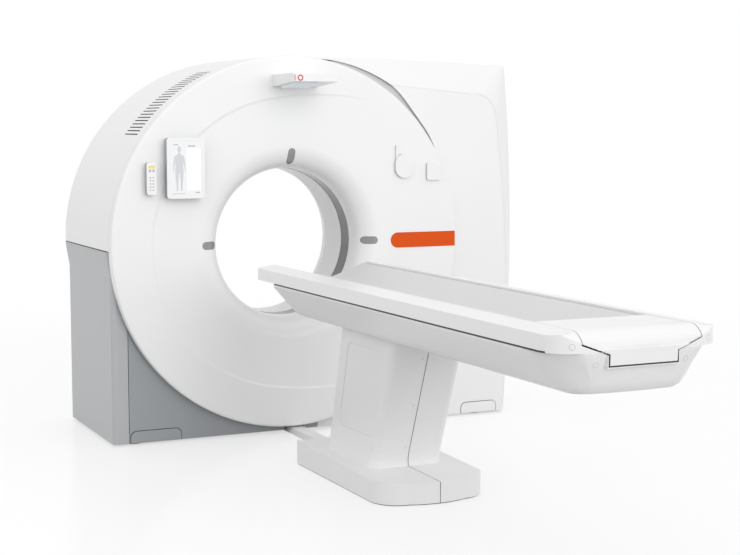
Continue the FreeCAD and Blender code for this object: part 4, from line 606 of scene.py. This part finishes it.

# ---- Service wing --------------------------------------------------------------------
# The tall white wing holds the power and control racks. A sloped border frames its flat
# front panel, its right side bows outwards, and a filler painted grey as shade closes the round
# reveal.

SHELL_EDGE = 0.0015
REVEAL_CENTRE = Vector((0.1545, 0.0, BORE_Z + 0.1978))
REVEAL_R = 0.640
REVEAL_SLACK = 0.002
NARROWED = (22.0, 55.0)
NARROW_BY = 0.012
PANEL_BACK_Y = -0.004
BACK_SLACK = 0.001
EDGE_RETURN = 0.009


def narrow_reveal(bm):
    """Draws the panel's round edge towards the cover where the reveal thins out.

    The back of that edge is turned in, down to the filler.
    """
    low, high = NARROWED
    for vert in bm.verts:
        across = Vector((vert.co.x, 0.0, vert.co.z)) - REVEAL_CENTRE
        turn = math.degrees(math.atan2(across.z, across.x))
        if abs(across.length - REVEAL_R) < REVEAL_SLACK and low < turn < high:
            share = math.sin(math.pi * (turn - low) / (high - low)) ** 2
            vert.co -= across.normalized() * NARROW_BY * share
            if abs(vert.co.y - PANEL_BACK_Y) < BACK_SLACK:
                vert.co.y += EDGE_RETURN


# The reveal's filler is painted grey as the shade in the reveal, and the right flap's outline
# as the shade of its joint.
reveal_shade_grey = moulded("Reveal filler painted shade", (0.64, 0.64, 0.645), roughness=0.5)
rounded_copy("wing_shell", white_cover, SHELL_EDGE)
rounded_copy("wing_front", white_cover, PANEL_EDGE, shape=narrow_reveal)
rounded_copy("floor_flap_right", white_cover, FLAP_EDGE, lines=flap_lines)
rounded_copy("rear_panel", white_cover, PANEL_EDGE)
rounded_copy("reveal_panel", reveal_shade_grey, FLAP_EDGE)

# ---- Badge and docks -----------------------------------------------------------------
# A bare enamelled badge and two empty docks lie on the right half of the front cover. Behind
# their white fronts the docks have sides painted grey as shade, and the cases darker grey
# sides.

TIGHT_EDGE = 0.0003
DOCK_EDGE = 0.001
SOFT_EDGE = 0.002
SOFT_STEPS = 3
DOCK_SIDE_Y = -0.072


def grey_back(piece, rim_y, back):
    """Gives the sides of a case or dock behind rim_y a darker colour, which on a dock is
    painted shade.
    """
    piece.data.materials.append(back)
    for face in piece.data.polygons:
        if abs(face.normal.y) < 0.9 and face.center.y > rim_y:
            face.material_index = 1


badge_enamel = moulded("Orange enamel", (0.72, 0.085, 0.004), roughness=0.45)
badge_shader = badge_enamel.node_tree.nodes["Principled BSDF"]
badge_shader.inputs["Specular IOR Level"].default_value = 0.15
dock_white = moulded("White dock plastic", (0.87, 0.87, 0.872), roughness=0.42)
dock_side_shade = moulded("Dock side painted shade", (0.60, 0.605, 0.61), roughness=0.5)
case_sides_and_dock_shade = moulded("Grey case sides and painted dock shade", (0.36, 0.37, 0.385), roughness=0.5)
rounded_copy("badge_plate", badge_enamel, TIGHT_EDGE)
# The sides of the empty docks are painted grey as shade.
for dock in ("dock_oval", "dock_square"):
    grey_back(rounded_copy(dock, dock_white, SOFT_EDGE, SOFT_STEPS),
              DOCK_SIDE_Y, dock_side_shade)
# The docks of the tablet and the remote are painted grey as the shade around the cases.
rounded_copy("tablet_dock", case_sides_and_dock_shade, DOCK_EDGE)
rounded_copy("remote_dock", case_sides_and_dock_shade, DOCK_EDGE)

# ---- Tablet and hand remote ----------------------------------------------------------
# The control tablet hangs in its dock, in a white case with a lit screen. The hand remote
# beside it has a yellow field over two slate keys and rows of small grey ones.

CASE_EDGE = 0.0018
TABLET_SIDE_Y = -0.104
SCREEN_Y = -0.1075
SCREEN_CORNER = (-0.592, 1.102)
REMOTE_FRONT_Y = -0.098
REMOTE_SIDE_Y = -0.094
REMOTE_FIELD_Y = -0.0995
PRINT_T = 0.0003

# Prints on the screen, as x0, x1, z0, z1 from its lower left corner and a corner radius.
SCREEN_PANEL = (0.078, 0.140, 0.024, 0.206, 0.002)
SCREEN_BARS = ((0.018, 0.040, 0.220, 0.224, 0.001), (0.084, 0.118, 0.214, 0.219, 0.001),
               (0.118, 0.136, 0.012, 0.017, 0.001), (0.012, 0.070, 0.009, 0.011, 0.0008))
FIGURE_FOOT = (0.044, 0.022)
FIGURE_H = 0.19
HEAD_UP = 0.180
HEAD_RADII = (0.009, 0.0130)

# The right half of the standing figure, as shares of its height.
FIGURE_HALF = ((0.028, 0.872), (0.04, 0.83), (0.105, 0.80), (0.125, 0.74), (0.142, 0.60),
               (0.150, 0.45), (0.134, 0.44), (0.118, 0.56), (0.100, 0.66), (0.088, 0.56),
               (0.100, 0.45), (0.092, 0.30), (0.070, 0.12), (0.074, 0.01), (0.034, 0.0),
               (0.030, 0.14), (0.012, 0.40))

# Keys of the remote: x0, x1, z0, z1 and a corner radius.
KEY_FIELD = (-0.6845, -0.6545, 1.2225, 1.2365, 0.004)
SLATE_KEYS = ((-0.6815, -0.6725, 1.2085, 1.2175, 0.002),
              (-0.6665, -0.6575, 1.2085, 1.2175, 0.002))
KEY_CORNER = (-0.6795, 1.126)
KEY_SIZE = (0.0075, 0.0065)
KEY_PITCH = (0.0125, 0.0135)
KEY_COLUMNS = 2
KEY_ROWS = 5
KEY_ROUND = 0.0015


def lit(name, colour, glow):
    """A part of a screen: its colour, with a little light of its own."""
    material = moulded(name, colour, roughness=0.25, depth=0.0, uneven=0.0)
    shader = material.node_tree.nodes["Principled BSDF"]
    shader.inputs["Emission Color"].default_value = (*colour, 1.0)
    shader.inputs["Emission Strength"].default_value = glow
    return material


def rounded_box(x0, x1, z0, z1, radius, steps=5):
    """Outline of a rectangle with round corners, as (x, z) points."""
    points = []
    for cx, cz, start in ((x1 - radius, z0 + radius, -90), (x1 - radius, z1 - radius, 0),
                          (x0 + radius, z1 - radius, 90), (x0 + radius, z0 + radius, 180)):
        for i in range(steps + 1):
            a = math.radians(start + 90 * i / steps)
            points.append((cx + radius * math.cos(a), cz + radius * math.sin(a)))
    return points


def on_screen(x0, x1, z0, z1, radius):
    """Outline of a print on the screen."""
    left, low = SCREEN_CORNER
    return rounded_box(left + x0, left + x1, low + z0, low + z1, radius)


def ellipse(x, z, rx, rz, steps=24):
    """Outline of an upright ellipse, as (x, z) points."""
    turns = [math.tau * i / steps for i in range(steps)]
    return [(x + rx * math.cos(t), z + rz * math.sin(t)) for t in turns]


def standing_figure(x, z0, height):
    """A plain figure, seen from the front: its right half down, its left half up."""
    right = [(x + px * height, z0 + pz * height) for px, pz in FIGURE_HALF]
    left = [(x - px * height, z0 + pz * height) for px, pz in reversed(FIGURE_HALF)]
    return right + left


def plates(name, outlines, back_y, front_y, material, body="gantry"):
    """Flat plates that face the viewer, with the given (x, z) outlines, in one piece."""
    bm = bmesh.new()
    for points in outlines:
        face = bm.faces.new([bm.verts.new((x, back_y, z)) for x, z in points])
        pull_faces(bm, [face], (0.0, front_y - back_y, 0.0))
    bmesh.ops.recalc_face_normals(bm, faces=bm.faces)
    return new_piece(name, bm, material, body)


tablet_white = moulded("White tablet case", (0.865, 0.865, 0.866), roughness=0.3, coat=0.3)
grey_back(rounded_copy("tablet_case", tablet_white, CASE_EDGE, SOFT_STEPS),
          TABLET_SIDE_Y, case_sides_and_dock_shade)
rounded_copy("tablet_screen", lit("Screen ground", (0.80, 0.81, 0.82), 0.08),
             TIGHT_EDGE)
figure_x = SCREEN_CORNER[0] + FIGURE_FOOT[0]
figure_z = SCREEN_CORNER[1] + FIGURE_FOOT[1]
figure = [standing_figure(figure_x, figure_z, FIGURE_H),
          ellipse(figure_x, figure_z + HEAD_UP, *HEAD_RADII)]
for name, outlines, label, colour, glow in (
        ("screen_figure", figure, "Screen figure", (0.60, 0.61, 0.63), 0.07),
        ("screen_panel", [on_screen(*SCREEN_PANEL)], "Screen panel", (0.93, 0.94, 0.95), 0.12),
        ("screen_bars", [on_screen(*bar) for bar in SCREEN_BARS], "Screen bars",
         (0.42, 0.43, 0.45), 0.04)):
    plates(name, outlines, SCREEN_Y, SCREEN_Y - PRINT_T, lit(label, colour, glow))

grey_back(rounded_copy("remote_case", tablet_white, CASE_EDGE, SOFT_STEPS),
          REMOTE_SIDE_Y, case_sides_and_dock_shade)
field_yellow = moulded("Yellow key field", (0.88, 0.72, 0.28), roughness=0.4)
key_slate = moulded("Slate keys", (0.40, 0.42, 0.47), roughness=0.4)
key_grey = moulded("Grey keys", (0.55, 0.56, 0.58), roughness=0.45)
plates("remote_field", [rounded_box(*KEY_FIELD)], REMOTE_FIELD_Y, REMOTE_FIELD_Y - PRINT_T,
       field_yellow)
plates("remote_keys_dark", [rounded_box(*key) for key in SLATE_KEYS],
       REMOTE_FIELD_Y, REMOTE_FIELD_Y - 2 * PRINT_T, key_slate)
small_keys = []
for column in range(KEY_COLUMNS):
    for row in range(KEY_ROWS):
        key_x = KEY_CORNER[0] + KEY_PITCH[0] * column
        key_z = KEY_CORNER[1] + KEY_PITCH[1] * row
        small_keys.append(rounded_box(key_x, key_x + KEY_SIZE[0], key_z, key_z + KEY_SIZE[1],
                                      KEY_ROUND))
plates("remote_keys", small_keys, REMOTE_FRONT_Y, REMOTE_FRONT_Y - 2 * PRINT_T, key_grey)

# ---- Overhead unit -------------------------------------------------------------------
# A slim unit above the bore reaches out over the table's head. It holds a light box, and a red
# ring with a white centre marks its camera.

HEAD_FRONT_Y = -0.302
RING_CENTRE = (-0.059, 1.613)
RING_HOLE_R = 0.0085
RING_GAP = 0.0004
RING_CENTRE_Y = (HEAD_FRONT_Y + 0.0005, HEAD_FRONT_Y - 0.0008)
STATUS_PATCH = (-0.0895, -0.0795, 1.601, 1.626, 0.002)

ring_red = moulded("Red ring", (0.50, 0.012, 0.015), roughness=0.35)
patch_rose = moulded("Rose patch", (0.66, 0.50, 0.50), roughness=0.4)
rounded_copy("overhead_housing", white_cover, SOFT_EDGE, SOFT_STEPS)
rounded_copy("overhead_ring", ring_red, TIGHT_EDGE)
rounded_copy("overhead_lamp", lit("Light box", (0.74, 0.81, 0.85), 0.10),
             DOCK_EDGE)
plates("ring_centre", [ellipse(*RING_CENTRE, RING_HOLE_R - RING_GAP, RING_HOLE_R - RING_GAP)],
       *RING_CENTRE_Y, tablet_white)
plates("status_patch", [rounded_box(*STATUS_PATCH)], HEAD_FRONT_Y, HEAD_FRONT_Y - PRINT_T,
       patch_rose)

# ---- Gantry frame and rotor ----------------------------------------------------------
# Inside the covers a painted steel frame carries the main bearing, and the rotor turns in it
# with the tube, the detector, the generator and the cooler.

frame_paint = moulded("Frame paint", (0.17, 0.18, 0.20), roughness=0.5, scale=500.0,
                      depth=0.0001)
machined = moulded("Machined steel", (0.56, 0.57, 0.58), roughness=0.28, metallic=1.0,
                   scale=1400.0)
cast_alloy = moulded("Cast alloy", (0.70, 0.71, 0.72), roughness=0.42, metallic=1.0,
                     scale=650.0, depth=0.0001)
ring_brass = moulded("Slip-ring brass", (0.72, 0.50, 0.20), roughness=0.25, metallic=1.0)
black_plastic_and_shade = moulded("Black plastic and painted shade", (0.03, 0.032, 0.035), roughness=0.5)
potted_coils = moulded("Potted coils", (0.16, 0.06, 0.03), roughness=0.55)

paint(frame_paint, "base_frame", "stator_plate", "power_cabinet", "table_base_plate",
      "mast_outer", "mast_inner", "mast_head", "lift_drive", "slide_drive")
paint(machined, "bearing_outer", "bearing_inner", "drive_rotor")
paint(cast_alloy, "rotor_plate", "xray_tube", "collimator", "hv_generator", "cooling_unit",
      "rail_right", "rail_left")
paint(ring_brass, "slip_ring")
paint(black_plastic_and_shade, "detector_arc", "brush_block", "fan_tray")
paint(potted_coils, "drive_stator")

# ---- Table pedestal ------------------------------------------------------------------
# A flat duct leads from the gantry to the table's base. The base and its leaning column are two
# white mouldings that meet on the centre line.

DUCT_EDGE = 0.003
SEAM_LINE = 0.0009
RECESS_LINE = 0.0012
COLUMN_FOOT_MIDDLE = -1.011
FLARE_TOP_Z = 0.122
FLARE_H = 0.040
FLARE_TUCK_X = 0.090
FLARE_TUCK_Y = 0.066

# Boxes that pick points, as reaches of x from the middle, y and z.
SEAM_BOX = ((-1.0, 0.0022), (-2.0, 0.0), (0.0, 0.7))
RECESS_BOX = ((0.1552, 0.1564), (-1.39, -0.85), (0.16, 0.6))
FLARE_BOX = ((-1.0, 0.190), (-1.260, -0.762), (0.074, 0.121))
FLARE_EDGE_BOX = ((-1.0, 0.190), (-1.260, -0.762), (0.076, 0.110))


def point_in(vert, box):
    """Whether a point lies in a box; x is measured from the middle."""
    place = (abs(vert.co.x), vert.co.y, vert.co.z)
    return all(low < at < high for at, (low, high) in zip(place, box))


def edge_in(box):
    """A test for edges that lie in a box with both ends."""
    return lambda edge: all(point_in(vert, box) for vert in edge.verts)


def tuck_flare(bm):
    """Draws the flare at the column's foot in, so that it reads as a soft fillet."""
    for vert in bm.verts:
        if point_in(vert, FLARE_BOX):
            share = min(1.0, (FLARE_TOP_Z - vert.co.z) / FLARE_H)
            vert.co.x *= 1.0 - FLARE_TUCK_X * share
            vert.co.y += (COLUMN_FOOT_MIDDLE - vert.co.y) * FLARE_TUCK_Y * share


painted_recess_shade = moulded("Painted recess shade", (0.55, 0.55, 0.552), roughness=0.5)
# The joint between the halves and the outline of each recess get chamfers painted as shade; the
# flare's foot stays sharp.
pedestal_lines = [(edge_in(SEAM_BOX), SEAM_LINE, joint_shade),
                  (edge_in(RECESS_BOX), RECESS_LINE, painted_recess_shade),
                  (edge_in(FLARE_EDGE_BOX), 0.0, None)]
rounded_copy("cable_duct", white_cover, DUCT_EDGE, SOFT_STEPS)
pedestal = {side: rounded_copy("pedestal_" + side, white_cover, SOFT_EDGE,
                               lines=pedestal_lines, shape=tuck_flare)
            for side in ("right", "left")}

# ---- Table top -----------------------------------------------------------------------
# A deep white tub carries two side rims and a foot cap whose tongue reaches down the end face.
# The curved board that slides into the bore is a satin grey laminate.

board_laminate = moulded("Grey laminate", (0.68, 0.68, 0.682), roughness=0.45)
tub = rounded_copy("tub_shell", white_cover, SHELL_EDGE, body="table_lift")
rims = {side: rounded_copy("rim_" + side, white_cover, SOFT_EDGE, SOFT_STEPS,
                           body="table_lift") for side in ("right", "left")}
foot_cap = rounded_copy("foot_cap", white_cover, SOFT_EDGE, SOFT_STEPS,
                        body="table_lift")
rounded_copy("cradle_board", board_laminate, SHELL_EDGE, body="tabletop")

# ---- Cap field and shade strips ------------------------------------------------------
# A shallow field with sloping sides is sunk into the cap, and black strips painted as shadow
# lie in the joints under the rims and around the tongue.

FIELD_BOX = (-0.185, 0.185, -2.668, -2.506)
FIELD_ROUND = 0.030
FIELD_DEPTH = 0.0018
FIELD_SLOPE = 0.014
CAP_TOP_Z = 0.812
TABLE_HALF_W = 0.303
RIM_CORNER_R = 0.100
RIM_CORNER_Y = -2.758 + RIM_CORNER_R
RIM_SHADE_Y = (-2.690, -0.600)
RIM_CORNER_STEPS = 4
SHADE_STRIP_Z = (0.7490, 0.7547)
SHADE_STRIP_DEPTH = 0.012
SHADE_STRIP_PROUD = 0.0002
TONGUE_SHADE_X = (0.1192, 0.1242)
TONGUE_SHADE_Z = (0.7050, 0.7098, 0.7430)
TONGUE_SHADE_Y = (-2.7525, -2.7640)

x0, x1, y0, y1 = FIELD_BOX
field = bmesh.new()
rings = []
for rise in (-1, 0, 1):
    inset = -rise * FIELD_SLOPE
    outline = rounded_box(x0 + inset, x1 - inset, y0 + inset, y1 - inset, FIELD_ROUND - inset)
    rings.append([field.verts.new((x, y, CAP_TOP_Z + rise * FIELD_DEPTH)) for x, y in outline])
field.faces.new(rings[0])
field.faces.new(rings[-1])
for lower, upper in zip(rings, rings[1:]):
    for i in range(len(lower)):
        field.faces.new((lower[i - 1], lower[i], upper[i], upper[i - 1]))
bmesh.ops.recalc_face_normals(field, faces=field.faces)
cut_away(foot_cap, field)

# Black strips along the rims' lower edges are painted as the shadow in the slot under the rims.
corner_turn = math.asin((RIM_CORNER_Y - RIM_SHADE_Y[0]) / RIM_CORNER_R)
path = [(TABLE_HALF_W, RIM_SHADE_Y[1])]
for i in range(RIM_CORNER_STEPS + 1):
    a = corner_turn * i / RIM_CORNER_STEPS
    path.append((TABLE_HALF_W - RIM_CORNER_R * (1 - math.cos(a)),
                 RIM_CORNER_Y - RIM_CORNER_R * math.sin(a)))
shade_strip_mesh = bmesh.new()
for sign in (-1, 1):
    plan = [(sign * (x + SHADE_STRIP_PROUD), y) for x, y in path]
    plan += [(sign * (x - SHADE_STRIP_DEPTH), y) for x, y in reversed(path)]
    strip = shade_strip_mesh.faces.new([shade_strip_mesh.verts.new((x, y, SHADE_STRIP_Z[0])) for x, y in plan])
    pull_faces(shade_strip_mesh, [strip], (0.0, 0.0, SHADE_STRIP_Z[1] - SHADE_STRIP_Z[0]))
bmesh.ops.recalc_face_normals(shade_strip_mesh, faces=shade_strip_mesh.faces)
new_piece("rim_shade_strips", shade_strip_mesh, black_plastic_and_shade, "table_lift")

# A black plate behind the tongue is painted as the shadow around it.
inner, outer = TONGUE_SHADE_X
low, floor_z, high = TONGUE_SHADE_Z
plates("tongue_shade_plate", [[(-outer, high), (-outer, low), (outer, low), (outer, high),
                        (inner, high), (inner, floor_z), (-inner, floor_z), (-inner, high)]],
       *TONGUE_SHADE_Y, black_plastic_and_shade, "table_lift")

# ---- Screw caps ----------------------------------------------------------------------
# Round plastic caps over the screws of the rims, the tub's end and the pedestal, each in a
# low ring painted grey as shadow.

CAP_R = 0.0080
PEDESTAL_CAP_R = 0.0035
CAP_RING = 0.0014
CAP_PROUD = 0.0002
CAP_STEPS = 28
RIM_SCREW = (0.2405, -2.7505, 0.770)
TUB_SCREW = (0.160, -2.7605, 0.708)
PEDESTAL_SCREWS = ((-0.020, -1.3910, 0.533), (-0.020, -1.3150, 0.342),
                   (-0.020, -1.2446, 0.165))


def screw_caps(name, body, radius, places):
    """Low discs in a ring painted grey as shadow; each place is a skin and a point that it is
    put on.
    """
    bm = bmesh.new()
    for skin, point in places:
        _, at, facing, _ = skin.closest_point_on_mesh(point)
        turn = facing.to_track_quat("Z", "Y").to_matrix().to_4x4()
        for reach, proud in ((radius + CAP_RING, CAP_PROUD), (radius, 2 * CAP_PROUD)):
            bmesh.ops.create_cone(bm, cap_ends=True, segments=CAP_STEPS, radius1=reach,
                                  radius2=reach, depth=2 * proud,
                                  matrix=Matrix.Translation(at) @ turn)
    for face in bm.faces:
        reach = max((a.co - b.co).length for a in face.verts for b in face.verts) / 2
        face.material_index = int(reach > radius + CAP_RING / 2)
    piece = new_piece(name, bm, white_cover, body)
    piece.data.materials.append(painted_recess_shade)


def mirrored(point):
    """The same point on the left half of the table."""
    x, y, z = point
    return -x, y, z


screw_caps("rim_screw_caps", "table_lift", CAP_R,
           [(rims["right"], RIM_SCREW), (rims["left"], mirrored(RIM_SCREW))])
screw_caps("tub_screw_caps", "table_lift", CAP_R,
           [(tub, TUB_SCREW), (tub, mirrored(TUB_SCREW))])
screw_caps("pedestal_screw_caps", "gantry", PEDESTAL_CAP_R,
           [(pedestal["left"], point) for point in PEDESTAL_SCREWS])
